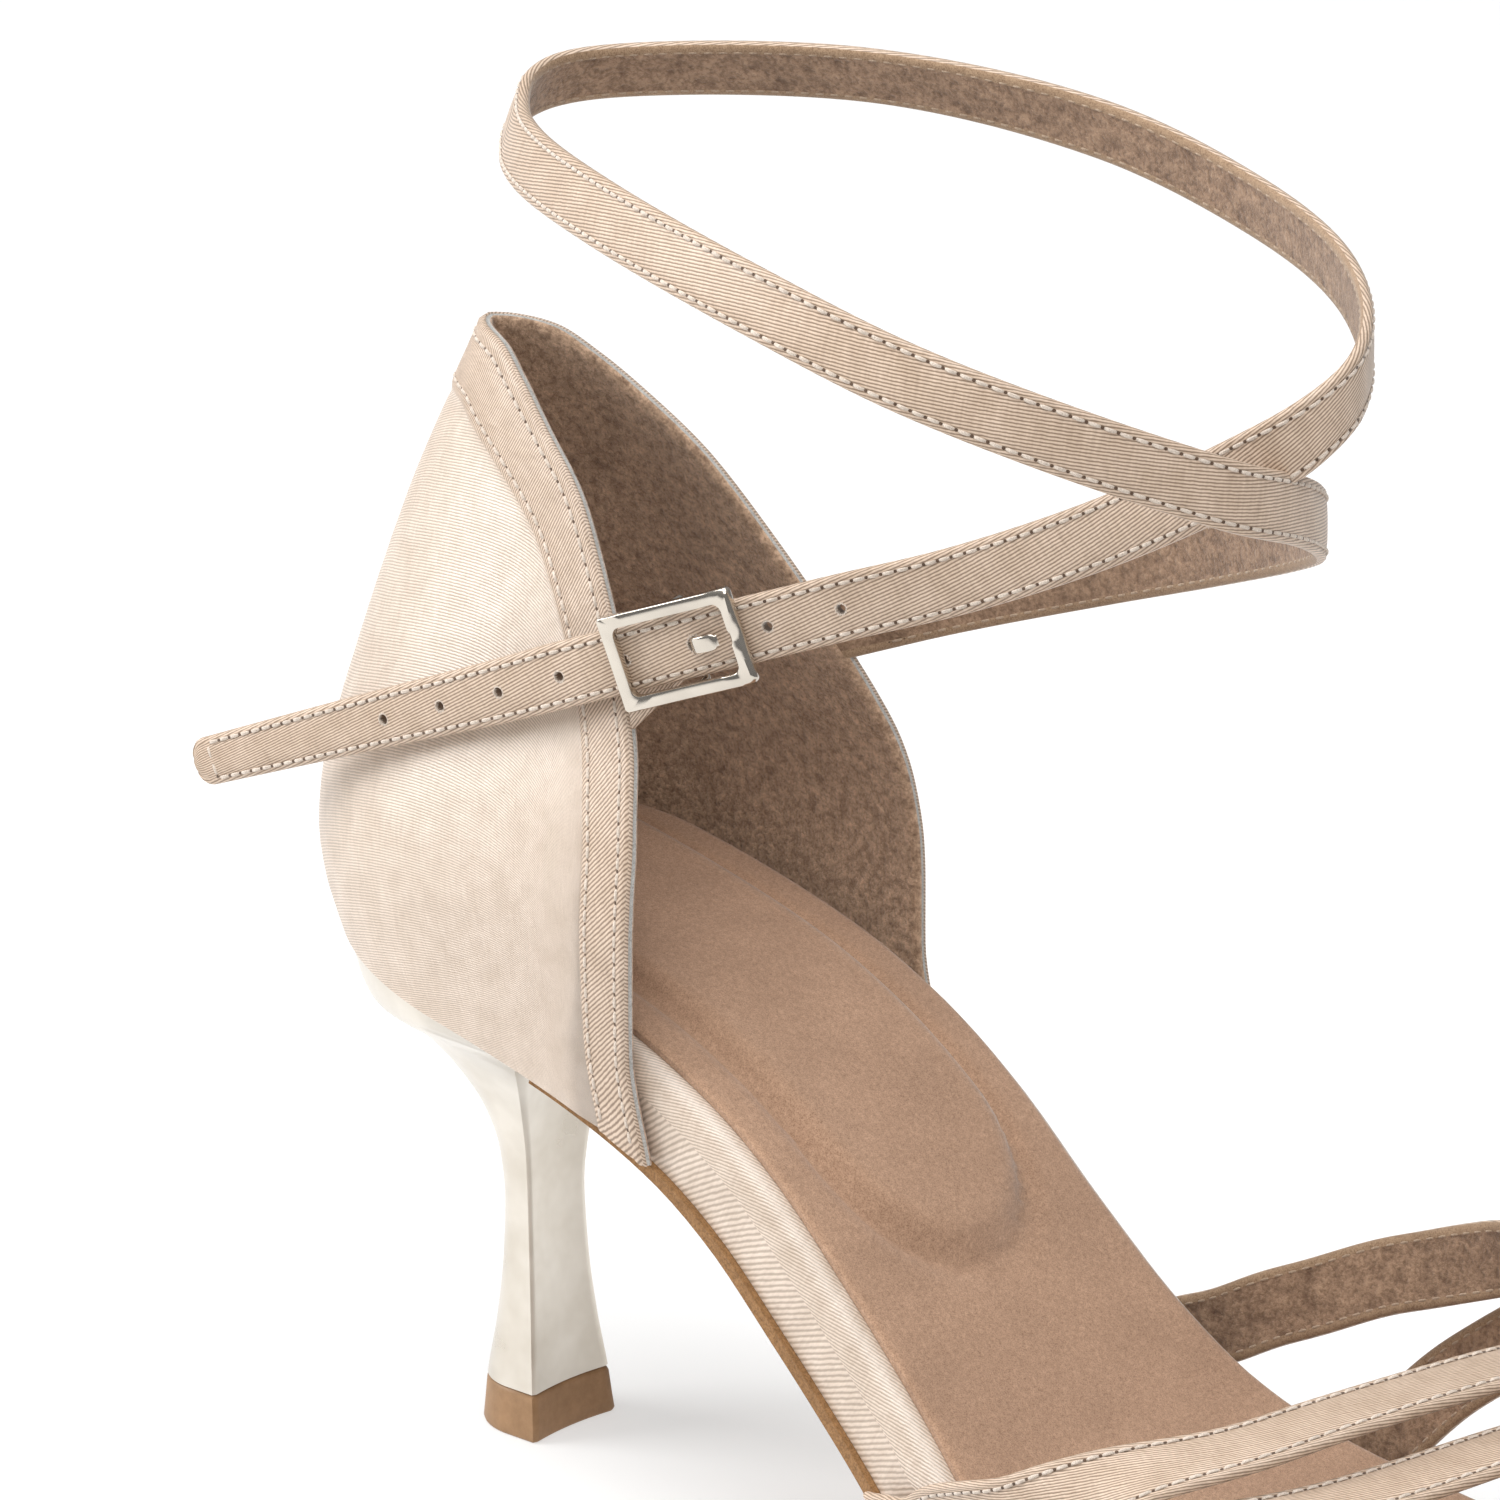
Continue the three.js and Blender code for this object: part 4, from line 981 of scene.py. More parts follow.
@dataclass
class HeelBlock:
    """Flared plated heel with a hollow breast, and its tip."""

    last: Last
    width: float = 52
    tip: float = 6
    hollow: float = 0.1
    gap: float = 0.3
    breast_faces: int = 24
    round_faces: int = 40
    corner: float = 0.12
    corner_fall: float = 0.35
    levels: int = 60
    tip_levels: tuple[tuple[float, float], ...] = (
        (0, 0.45),
        (0.12, 0.16),
        (0.45, 0),
        (2, 0.02),
        (5.4, 0),
        (5.85, 0.12),
        (6, 0.3),
    )
    rows: tuple[tuple[float, float, float, float], ...] = (
        (0, 0.127, 0.14, -0.127),
        (0.09, 0.117, 0.129, -0.112),
        (0.2, 0.102, 0.112, -0.08),
        (0.32, 0.091, 0.1, -0.056),
        (0.44, 0.087, 0.096, -0.045),
        (0.53, 0.094, 0.105, -0.056),
        (0.61, 0.113, 0.133, -0.092),
        (0.68, 0.15, 0.18, -0.155),
        (0.74, 0.2, 0.24, -0.221),
        (0.79, 0.27, 0.315, -0.273),
        (0.83, 0.36, 0.4, -0.317),
        (0.862, 0.46, 0.46, -0.346),
        (0.91, 0.52, 0.485, -0.375),
        (1.03, 0.52, 0.49, -0.42),
    )

    def __post_init__(self) -> None:
        """Prepares the columns of the table."""
        ups = [row[0] for row in self.rows]
        self.breast, self.half, self.rear = (Column(ups, [row[k] for row in self.rows]) for k in (1, 2, 3))

    def section(self, z: float, shrink: float) -> list[Vector]:
        """Returns the level section at a height."""
        share = z / self.last.seat_height
        front = self.width * self.breast(share) - shrink
        wide = self.width * self.half(share) - shrink
        rear = self.width * self.rear(share) + shrink
        straight = lerp(front, rear, 0.35)
        points = []
        for s in spread(-1, 1, self.breast_faces):
            corner = min(1.0, (1 - abs(s)) / self.corner)
            round_off = self.corner_fall * (1 - math.sqrt(1 - (1 - corner) ** 2))
            points.append(Vector((front - round_off - self.hollow * wide * (1 - s * s), s * wide, z)))
        for angle in spread(0, math.pi, self.round_faces)[1:-1]:
            x = straight - (straight - rear) * math.sin(angle) ** 0.9
            points.append(Vector((x, wide * (1 - 0.03 * math.sin(angle)) * math.cos(angle), z)))
        return points

    def seat(self, k: int) -> float:
        """Returns the height at which a corner of the section meets the board."""
        z = self.last.seat_height * 0.9
        for _ in range(30):
            z = lerp(z, self.last.feather(self.section(z, 0)[k].x) - self.gap * 0.5, 0.6)
        return z

    def build(self, finishes: Rack) -> None:
        """Builds the heel and its tip."""
        start = self.tip + self.gap * 0.4
        count = len(self.section(start, 0))
        tops = [self.seat(k) for k in range(count)]
        draft = Draft()
        draft.skin([
            [self.section(lerp(start, tops[k], share), 0)[k] for k in range(count)]
            for share in spread(0, 1, self.levels)
        ])
        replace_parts(draft.dress("plated_heel", finishes.pick("heel"), "plated_heel", 42), "heel")
        draft = Draft()
        draft.skin([self.section(z, shrink) for z, shrink in self.tip_levels])
        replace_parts(draft.dress("heel_tip_plastic", finishes.pick("tip"), "tip_plastic", 60), "heel_tip")


# Counter


@dataclass
class Counter:
    """Closed heel counter: satin outside, binding strip, core at the collar and napped lining."""

    last: Last
    height: float = 140
    width: float = 53
    wall: float = 1.6
    taper: float = 0.0004
    binding: float = 0.4
    foot_end: float = 0.24
    seam: float = 0.16
    seam_width: float = 0.06
    seams: tuple[float, float] = (0.2, 0.86)
    edge_fall: float = 0.3
    edge_width: float = 0.05
    border_fall: float = 0.28
    border_width: float = 0.07
    tuck: float = 0.12
    tuck_width: float = 0.04
    lining_turn: float = 0.3
    lining_reach: float = 0.04
    core_rise: float = 0.32
    core_groove: float = 0.14
    per_row: int = 8
    sections: tuple[tuple[float, float, float, float], ...] = (
        (0.35, -0.1, 0.5, 0.075),
        (0.43, -0.13, 0.5, 0.075),
        (0.464, -0.15, 0.5, 0.075),
        (0.483, -0.163, 0.5, 0.075),
        (0.51, -0.178, 0.5, 0.075),
        (0.55, -0.187, 0.497, 0.076),
        (0.59, -0.185, 0.484, 0.08),
        (0.643, -0.172, 0.45, 0.09),
        (0.714, -0.152, 0.376, 0.1),
        (0.786, -0.127, 0.308, 0.107),
        (0.857, -0.098, 0.245, 0.113),
        (0.929, -0.062, 0.18, 0.12),
        (0.971, -0.04, 0.14, 0.12),
        (1.01, -0.02, 0.107, 0.12),
    )
    collar: tuple[tuple[float, float, float, float, float], ...] = (
        (-0.03, 1, -0.06, 0.938, 0),
        (0.02, 0.991, -0.02, 0.934, 0.12),
        (0.058, 0.969, 0.008, 0.921, 0.24),
        (0.104, 0.934, 0.059, 0.895, 0.36),
        (0.151, 0.894, 0.111, 0.858, 0.48),
        (0.199, 0.83, 0.158, 0.8, 0.6),
        (0.242, 0.76, 0.198, 0.737, 0.71),
        (0.275, 0.688, 0.227, 0.672, 0.81),
        (0.293, 0.614, 0.243, 0.607, 0.89),
        (0.297, 0.535, 0.247, 0.535, 0.95),
        (0.296, 0.457, 0.25, 0.46, 0.99),
        (0.314, 0.366, 0.264, 0.388, 1),
    )

    def __post_init__(self) -> None:
        """Prepares the columns of both tables."""
        ups = [row[0] for row in self.sections]
        self.back, self.half, self.widest = (Column(ups, [row[k] for row in self.sections]) for k in (1, 2, 3))
        rows = range(len(self.collar))
        self.reads = [Column(rows, [row[k] for row in self.collar]) for k in range(5)]
        self.binding_shares = [0, self.edge_width, *spread(0.12, 0.92, 9), 0.96, 1.0]
        self.wall_shares = [0.012, 0.03, *spread(0.06, 1, 34)]
        self.lining_shares = [0, 0.04, 0.1, *spread(0.16, 2, 40)]

    def sizes(self, z: float) -> tuple[float, float, float]:
        """Returns back, half width and widest place at a height."""
        share = z / self.height
        return self.back(share) * self.height, self.half(share) * self.width, self.widest(share) * self.height

    def point(self, turn: float, z: float) -> Vector:
        """Returns the outside of the counter; turn runs from the middle of the back."""
        back, half, widest = self.sizes(z)
        reach = widest - back
        side, sign = abs(turn), -1 if turn < 0 else 1
        if side <= 1:
            angle = side * math.pi / 2
            return Vector((widest - reach * math.cos(angle), sign * half * math.sin(angle), z))
        past = (side - 1) * reach * math.pi / 2
        return Vector((widest + past, sign * (half - self.taper * past * past), z))

    def turn_at(self, x: float, z: float) -> float:
        """Returns the turn where the outside reaches a place."""
        back, _, widest = self.sizes(z)
        reach = widest - back
        if x >= widest:
            return 1 + (x - widest) / (reach * math.pi / 2)
        return 2 / math.pi * math.acos(clamp((widest - x) / reach, -1, 1))

    def normal(self, turn: float, z: float) -> Vector:
        """Returns the outward direction of the outside."""
        along = self.point(turn + 0.02, z) - self.point(turn - 0.02, z)
        up = self.point(turn, z + 0.4) - self.point(turn, z - 0.4)
        return up.cross(along).normalized()

    def ruling(self, row: float) -> tuple[tuple[float, float], tuple[float, float], tuple[float, float]]:
        """Returns turn and height of the collar edge, binding border and foot at a row."""
        edge_x, edge_z, border_x, border_z, foot = (self.height * read(row) for read in self.reads)
        spots = []
        for x, z in ((edge_x, edge_z), (border_x, border_z)):
            z = max(z, self.last.feather(x))
            spots.append((self.turn_at(x, z), z))
        end = self.foot_end * self.height
        turn = self.turn_at(end, self.last.feather(end)) * foot / self.height
        z = self.last.seat_height
        for _ in range(6):
            z = self.last.feather(self.point(turn, z).x)
        return spots[0], spots[1], (turn, z)

    def at(self, turn: float, z: float, offset: float) -> Vector:
        """Returns a point off the outside by an offset."""
        return self.point(turn, z) + self.normal(turn, z) * offset

    def outline_spot(self, row: float, share: float, sign: int) -> tuple[float, float]:
        """Returns turn and height between edge (0), border (1) and foot (2)."""
        edge, border, foot = self.ruling(row)
        a, b, s = (edge, border, share) if share <= 1 else (border, foot, share - 1)
        return sign * lerp(a[0], b[0], s), lerp(a[1], b[1], s)

    def satin_strip(self, row: float, sign: int) -> list[Vector]:
        """Returns the outside from the collar edge over the binding down to the foot."""
        strip = []
        for share in self.binding_shares:
            seam = sum(self.seam * math.exp(-(((share - at) / self.seam_width) ** 2)) for at in self.seams)
            edge = self.edge_fall * max(0.0, 1 - share / self.edge_width) ** 2
            border = self.border_fall * smooth((share - 1) / self.border_width + 1)
            strip.append(self.at(*self.outline_spot(row, share, sign), self.binding - seam - edge - border))
        for share in self.wall_shares:
            tuck = self.tuck * (1 - smooth(share / self.tuck_width))
            strip.append(self.at(*self.outline_spot(row, 1 + share, sign), -tuck))
        return strip

    def lining_strip(self, row: float, sign: int) -> list[Vector]:
        """Returns the inside from the collar edge down to the foot."""
        return [
            self.at(
                *self.outline_spot(row, share, sign),
                self.lining_turn * math.exp(-share / self.lining_reach) - self.wall,
            )
            for share in self.lining_shares
        ]

    def build(self, finishes: Rack) -> None:
        """Builds the counter and sews its binding."""
        count = (len(self.collar) - 1) * self.per_row
        rows = [(abs(k) / self.per_row, -1 if k < 0 else 1) for k in range(-count, count + 1)]
        outer = [self.satin_strip(*row) for row in rows]
        inner = [self.lining_strip(*row) for row in rows]
        draft = Draft()
        draft.sheet(outer, [Cloth.BINDING] * (len(self.binding_shares) - 1) + [Cloth.FACE] * len(self.wall_shares))
        draft.sheet(inner, Cloth.LINING, flip=True)
        self.close(draft, outer, inner)
        draft.face_out()
        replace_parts(draft.dress("satin_counter", finishes.counter(), "satin", 70), "counter")
        sewing = Sewing()
        for share in self.seams:
            for side in Side:
                self.sew(sewing, share, side)
        sewing.finish("binding", finishes)

    def close(self, draft: Draft, outer: Grid, inner: Grid) -> None:
        """Closes the collar edge with its core layer, and the foot."""
        rim = []
        for strip, lining in zip(outer, inner):
            a, b = strip[0], lining[0]
            lift = (a - strip[3]).normalized()
            row = []
            for s in spread(0, 1, 12):
                arch = self.core_rise * math.sqrt(max(0.0, 1 - (2 * s - 1) ** 2))
                row.append(a.lerp(b, s) + lift * (arch - (self.core_groove if 0.3 < s < 0.62 else 0)))
            rim.append(row)
        draft.sheet(rim, [Cloth.BINDING] * 4 + [Cloth.EDGE] * 4 + [Cloth.LINING] * 4, flip=True)
        draft.sheet([[strip[-1], lining[-1]] for strip, lining in zip(outer, inner)])
        for end, flip in ((0, False), (-1, True)):
            draft.sheet([outer[end], [nearest(inner[end], p) for p in outer[end]]], flip=flip)

    def sew(self, sewing: Sewing, share: float, side: Side) -> None:
        """Sews one side of the binding at a share of its width."""
        spots = [self.outline_spot(row, share, side.value) for row in spread(0.02, len(self.collar) - 1.1, 500)]
        line = [self.at(*spot, self.binding - self.seam * 0.875) for spot in spots]
        path = Path(line, [self.normal(*spot) for spot in spots])
        sewing.row(path.spot, 0.4, path.length - 0.4)


# Straps


@dataclass
class Frame:
    """Directions of a strap at one place."""

    centre: Vector
    along: Vector
    across: Vector
    outward: Vector

    def at(self, a: float, b: float, c: float) -> Vector:
        """Returns the point at steps along, across and outward."""
        return self.centre + self.along * a + self.across * b + self.outward * c

    def square(self, b: float, c: float) -> Vector:
        """Returns the point at steps across and outward."""
        return self.at(0, b, c)


@dataclass
class StrapCloth:
    """Section of a sewn strap: satin face folded round both edges, and its lining."""

    thickness: float = 1.6
    fold: float = 0.4
    seam: float = 0.14
    dip: float = 0.13
    dip_width: float = 0.45
    crown: float = 0.12

    def section(self, half: float) -> list[tuple[float, float, Cloth]]:
        """Returns across, outward and finish of each corner of the section.

        Args:
            half: half width of the strap.
        """
        radius = self.thickness / 2
        flat = half - radius
        points: list[tuple[float, float, Cloth]] = []
        stitch = half - half * 2 * self.seam
        for b in spread(-flat, flat, 18):
            dip = self.dip * math.exp(-(((abs(b) - stitch) / self.dip_width) ** 2))
            crown = self.crown * (1 - (b / flat) ** 2)
            points.append((b, radius - dip + crown - self.crown * 0.5, Cloth.FACE))
        bend = [(radius * math.sin(a), radius * math.cos(a)) for a in spread(0, math.pi, 6)[1:-1]]
        kinds = [Cloth.FACE] * 4 + [Cloth.EDGE]
        points += [(flat + b, c, kind) for (b, c), kind in zip(bend, kinds)]
        points.append((flat - self.fold * 0.2, -radius, Cloth.EDGE))
        for b in spread(flat - self.fold, -flat + self.fold, 8):
            points.append((b, -radius * 0.94, Cloth.LINING))
        points.append((-flat + self.fold * 0.2, -radius, Cloth.EDGE))
        points += [(-flat - b, c, kind) for (b, c), kind in zip(bend[::-1], kinds[::-1])]
        return points

    def loft(self, draft: Draft, rows: Sequence[tuple[Place, float]]) -> None:
        """Adds a strap through its rows.

        Args:
            draft: draft that takes the faces.
            rows: for each row, a function from across and outward to a point, and the half width.
        """
        sections = [self.section(half) for _, half in rows]
        points = [[place(b, c) for b, c, _ in section] for (place, _), section in zip(rows, sections)]
        kinds = [kind for _, _, kind in sections[0]]
        draft.skin(points, [max(pair) for pair in zip(kinds, kinds[1:] + kinds[:1])])


@dataclass
class AnkleStrap:
    """Long strap from the counter, twice round the ankle and through the buckle."""

    counter: Counter
    width: float = 7.9
    thickness: float = 1.6
    reach: float = 120
    spread: float = 42
    top: float = 167
    tail: float = 60
    hole_radius: float = 0.66
    prong_hole: float = 0.95
    hole_pitch: float = 9.45
    holes: int = 8
    before_prong: int = 2
    buckle_from_end: float = 78.2
    prong_at: float = 1.9
    top_row: float = 5.78
    low_row: float = 6.55
    seam: float = 0.74
    start: float = 6
    sharp: float = 60
    measures: int = 2400
    fibres: int = 46
    end_steps: tuple[float, ...] = (1.5, 1.1, 0.75, 0.45, 0.2, 0.06)
    route: tuple[tuple[float, float, float, float], ...] = (
        (0.315, 0.438, 0.63, 0),
        (0.398, 0.619, 0.649, 0),
        (0.536, 0.762, 0.68, 0),
        (0.657, 0.786, 0.709, 0),
        (0.804, 0.667, 0.75, 0),
        (0.895, 0.476, 0.782, 0),
        (0.953, 0.19, 0.818, 0),
        (0.96, -0.119, 0.848, 2),
        (0.862, -0.476, 0.894, 8),
        (0.727, -0.667, 0.93, 12),
        (0.557, -0.714, 0.963, 15),
        (0.303, -0.524, 0.981, 18),
        (0.104, -0.22, 0.98, 20),
        (0.017, -0.01, 0.98, 20),
        (-0.022, 0.14, 0.988, 22),
        (-0.027, 0.28, 0.994, 24),
        (0.007, 0.452, 0.997, 26),
        (0.227, 0.81, 1.001, 24),
        (0.467, 1, 0.981, 12),
        (0.657, 1, 0.951, 6),
        (0.823, 0.81, 0.931, 2),
        (0.937, 0.524, 0.912, 0),
        (0.978, 0.31, 0.895, 0),
        (0.967, 0.143, 0.873, 0),
        (0.911, 0.048, 0.844, 0),
        (0.77, -0.012, 0.788, 0),
        (0.628, -0.119, 0.742, 0),
        (0.513, -0.25, 0.713, 0),
        (0.37, -0.41, 0.676, 0),
        (0.26, -0.5, 0.647, 0),
        (0.154, -0.545, 0.617, 0),
        (-0.004, -0.58, 0.574, 0),
        (-0.238, -0.619, 0.509, 0),
    )

    def __post_init__(self) -> None:
        """Lays out the centre line."""
        self.knots = [Vector((a * self.reach, b * self.spread, c * self.top)) for a, b, c, _ in self.route]
        self.lean = Column(range(len(self.route)), [row[3] for row in self.route])
        self.shares = spread(0, 1, self.measures)
        self.path = Path([self.curve(t) for t in self.shares])
        self.length = self.path.length

    def curve(self, t: float) -> Vector:
        """Returns the point of the smooth curve through the knots."""
        count = len(self.knots)
        place = t * (count - 1)
        i = min(int(place), count - 2)
        w = place - i
        p1, p2 = self.knots[i], self.knots[i + 1]
        p0 = self.knots[i - 1] if i > 0 else p1 * 2 - p2
        p3 = self.knots[i + 2] if i + 2 < count else p2 * 2 - p1
        d0, d1, d2 = (math.sqrt(max((b - a).length, 1e-6)) for a, b in ((p0, p1), (p1, p2), (p2, p3)))
        t1 = ((p1 - p0) / d0 - (p2 - p0) / (d0 + d1) + (p2 - p1) / d1) * d1
        t2 = ((p2 - p1) / d1 - (p3 - p1) / (d1 + d2) + (p3 - p2) / d2) * d1
        return p1 + t1 * w + (p2 * 3 - p1 * 3 - t1 * 2 - t2) * w**2 + (p1 * 2 - p2 * 2 + t1 + t2) * w**3

    def frame(self, distance: float) -> Frame:
        """Returns the directions of the strap at a distance from its start."""
        i, w = self.path.find(distance)
        t = lerp(self.shares[i], self.shares[i + 1], w)
        near = 1e-4
        along = (self.curve(min(t + near, 1)) - self.curve(max(t - near, 0))).normalized()
        across = (Vector((0, 0, 1)) - along * along.z).normalized()
        lean = math.radians(self.lean(t * (len(self.knots) - 1)))
        across = Matrix.Rotation(lean, 3, along) @ across
        return Frame(self.curve(t), along, across, across.cross(along).normalized())

    def half(self, distance: float) -> float:
        """Returns the half width, which tapers and rounds off at the free end."""
        left = self.length - distance
        half = self.width / 2
        if left > self.tail:
            return half
        narrow = lerp(half * 0.74, half, left / self.tail)
        corner = half * 0.45
        if left > corner:
            return narrow
        return narrow - corner + math.sqrt(max(corner**2 - (corner - left) ** 2, 0))

    def buckle_at(self) -> float:
        """Returns the distance of the buckle."""
        return self.length - self.buckle_from_end

    def before_collar(self, row: float, side: Side, offset: float) -> Vector:
        """Returns a point just in front of the collar edge, off the middle of the wall."""
        counter = self.counter
        edge, border, _ = counter.ruling(row)
        tip = counter.point(*edge)
        ahead = (tip - counter.point(*border)).normalized()
        middle = (counter.binding - counter.wall) / 2
        spot = tip + counter.normal(*edge) * (middle + offset) + ahead * 0.15
        return Vector((spot.x, spot.y * side.value, spot.z))

    def surface(self, b_share: float, facing: int = 1) -> Along:
        """Returns a function for a face of the strap at a share of its half width.

        Args:
            b_share: share of the half width.
            facing: 1 for the satin face, -1 for the lining.
        """

        def spot(distance: float) -> tuple[Vector, Vector]:
            """Returns the point and the direction that the face looks."""
            here = self.frame(distance)
            rise = facing * (self.thickness / 2 - 0.09)
            return here.at(0, self.half(distance) * b_share, rise), here.outward * facing

        return spot

    def joint_row(self, joint: Frame, share: float) -> Place:
        """Returns the section at a share of the way from the collar to the joint."""

        def spot(b: float, c: float) -> Vector:
            """Returns a point of the section."""
            low, high = (self.before_collar(r, Side.INNER, c) for r in (self.low_row, self.top_row))
            return low.lerp(high, 0.5 + b / self.width).lerp(joint.square(b, c), share)

        return spot

    def build(self, finishes: Rack) -> None:
        """Builds the strap, punches its holes and sews both edges."""
        cloth = StrapCloth(self.thickness)
        joint = self.frame(self.start)
        rows = [(self.joint_row(joint, smooth(k / 8)), self.width / 2) for k in range(8)]
        even = spread(self.start, self.length - 1.9, 560)
        for distance in [*even, *[self.length - s for s in self.end_steps]]:
            rows.append((self.frame(distance).square, self.half(distance)))
        draft = Draft()
        cloth.loft(draft, rows)
        draft.face_out()
        piece = draft.dress("ankle_strap_satin", finishes.strap(), "satin", self.sharp)
        self.punch(piece, finishes)
        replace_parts(piece, "ankle_strap")
        sewing = Sewing()
        backing = back_sewing()
        for share in (-self.seam, self.seam):
            sewing.row(self.surface(share), 3.5, self.length - 3.3)
            backing.row(self.surface(share, -1), 3.5, self.length - 3.3)
        across = Path(*zip(*[self.surface(s)(self.length - 3.1) for s in spread(-self.seam, self.seam, 20)]))
        sewing.row(across.spot, 0.2, across.length - 0.2)
        sewing.finish("ankle_strap", finishes)
        backing.finish("ankle_strap_lining", finishes, "back_thread")

    def punch(self, piece: bpy.types.Object, finishes: Rack) -> None:
        """Punches the holes and leaves frayed rings round them."""
        cutter = Draft()
        fray = Draft()
        chance = random.Random(7)
        for k in range(self.holes):
            here = self.frame(self.buckle_at() - self.prong_at + self.hole_pitch * (k - self.before_prong))
            radius = self.prong_hole if k == self.before_prong else self.hole_radius
            ring = [(radius * math.cos(math.pi * n / 12), radius * math.sin(math.pi * n / 12)) for n in range(24)]
            depth = self.thickness * 1.5
            rows = [[here.at(a, b, c) for a, b in ring] for c in (-depth, depth)]
            cutter.skin(rows)
            for n in range(self.fibres):
                angle = 2 * math.pi * n / self.fibres + chance.uniform(-0.05, 0.05)
                reach = radius * chance.uniform(0.7, 1.0)
                outer = radius * chance.uniform(1.08, 1.45)
                turn = angle + chance.uniform(-0.25, 0.25)
                top = self.thickness / 2
                line = [
                    here.at(outer * math.cos(turn), outer * math.sin(turn), top + 0.02),
                    here.at(radius * math.cos(angle), radius * math.sin(angle), top + 0.07),
                    here.at(reach * math.cos(angle), reach * math.sin(angle), top - chance.uniform(0.1, 0.4)),
                ]
                fray.tube(line, [(0.035, 0.035), (0.06, 0.05), (0.03, 0.03)], [here.outward] * 3, sides=4)
        cutter.face_out()
        punch = bpy.data.objects.new("punch", cutter.mesh("punch"))
        bpy.context.scene.collection.objects.link(punch)
        cut = piece.modifiers.new("holes", "BOOLEAN")
        cut.operation, cut.object, cut.solver = "DIFFERENCE", punch, "EXACT"
        bpy.context.view_layer.update()
        ready = piece.evaluated_get(bpy.context.evaluated_depsgraph_get())
        made = bpy.data.meshes.new_from_object(ready)
        piece.modifiers.clear()
        piece.data = made
        shade(made, self.sharp)
        bpy.data.objects.remove(punch)
        fray.dress("hole_fraying", finishes.pick("thread"), "satin")


# Forefoot straps


@dataclass(frozen=True)
class ToeStrap:
    """Run of one forefoot strap: shares of the sole length at its ends, its side and its lift."""

    start: float
    end: float
    side: Side
    layer: float


class ToeRun:
    """One forefoot strap along its path, cut off where it meets the sole line."""

    def __init__(self, last: Last, path: Path, half: float) -> None:
        """Finds where the strap leaves the sole line across its width.

        Args:
            last: sole line.
            path: centre line and outward directions.
            half: half width of the strap.
        """
        self.last, self.path = last, path
        self.cuts = spread(-half, half, 24)
        self.limits = [self.above_sole(b) for b in self.cuts]

    def place(self, distance: float, b: float, c: float) -> Vector:
        """Returns the point at a distance and at steps across and outward."""
        point, out = self.path.spot(distance)
        ahead = (self.path.point(distance + 1.5) - self.path.point(distance - 1.5)).normalized()
        side = out.cross(ahead).normalized()
        return point + side * b + side.cross(ahead).normalized() * -c

    def above_sole(self, b: float) -> tuple[float, float]:
        """Returns the first and last distance at which the strap is over the sole line."""
        above = []
        for distance in spread(0, self.path.length, 400):
            spot = self.place(distance, b, 0)
            if spot.z > self.last.feather(spot.x) + 0.3:
                above.append(distance)
        return above[0], above[-1]

    def ends(self, b: float) -> tuple[float, float]:
        """Returns the ends of the strap at the cut nearest to a step across."""
        gaps = [abs(cut - b) for cut in self.cuts]
        return self.limits[gaps.index(min(gaps))]

    def row(self, share: float) -> Place:
        """Returns the section at a share of the way between the ends."""

        def spot(b: float, c: float) -> Vector:
            """Returns a point of the section."""
            return self.place(lerp(*self.ends(b), share), b, c)

        return spot

    def face(self, b: float, rise: float) -> Along:
        """Returns the line on a face of the strap that a row of stitches follows."""

        def spot(distance: float) -> tuple[Vector, Vector]:
            """Returns the point and the direction that the face looks."""
            point = self.place(distance, b, rise)
            return point, (point - self.place(distance, b, 0)).normalized()

        return spot


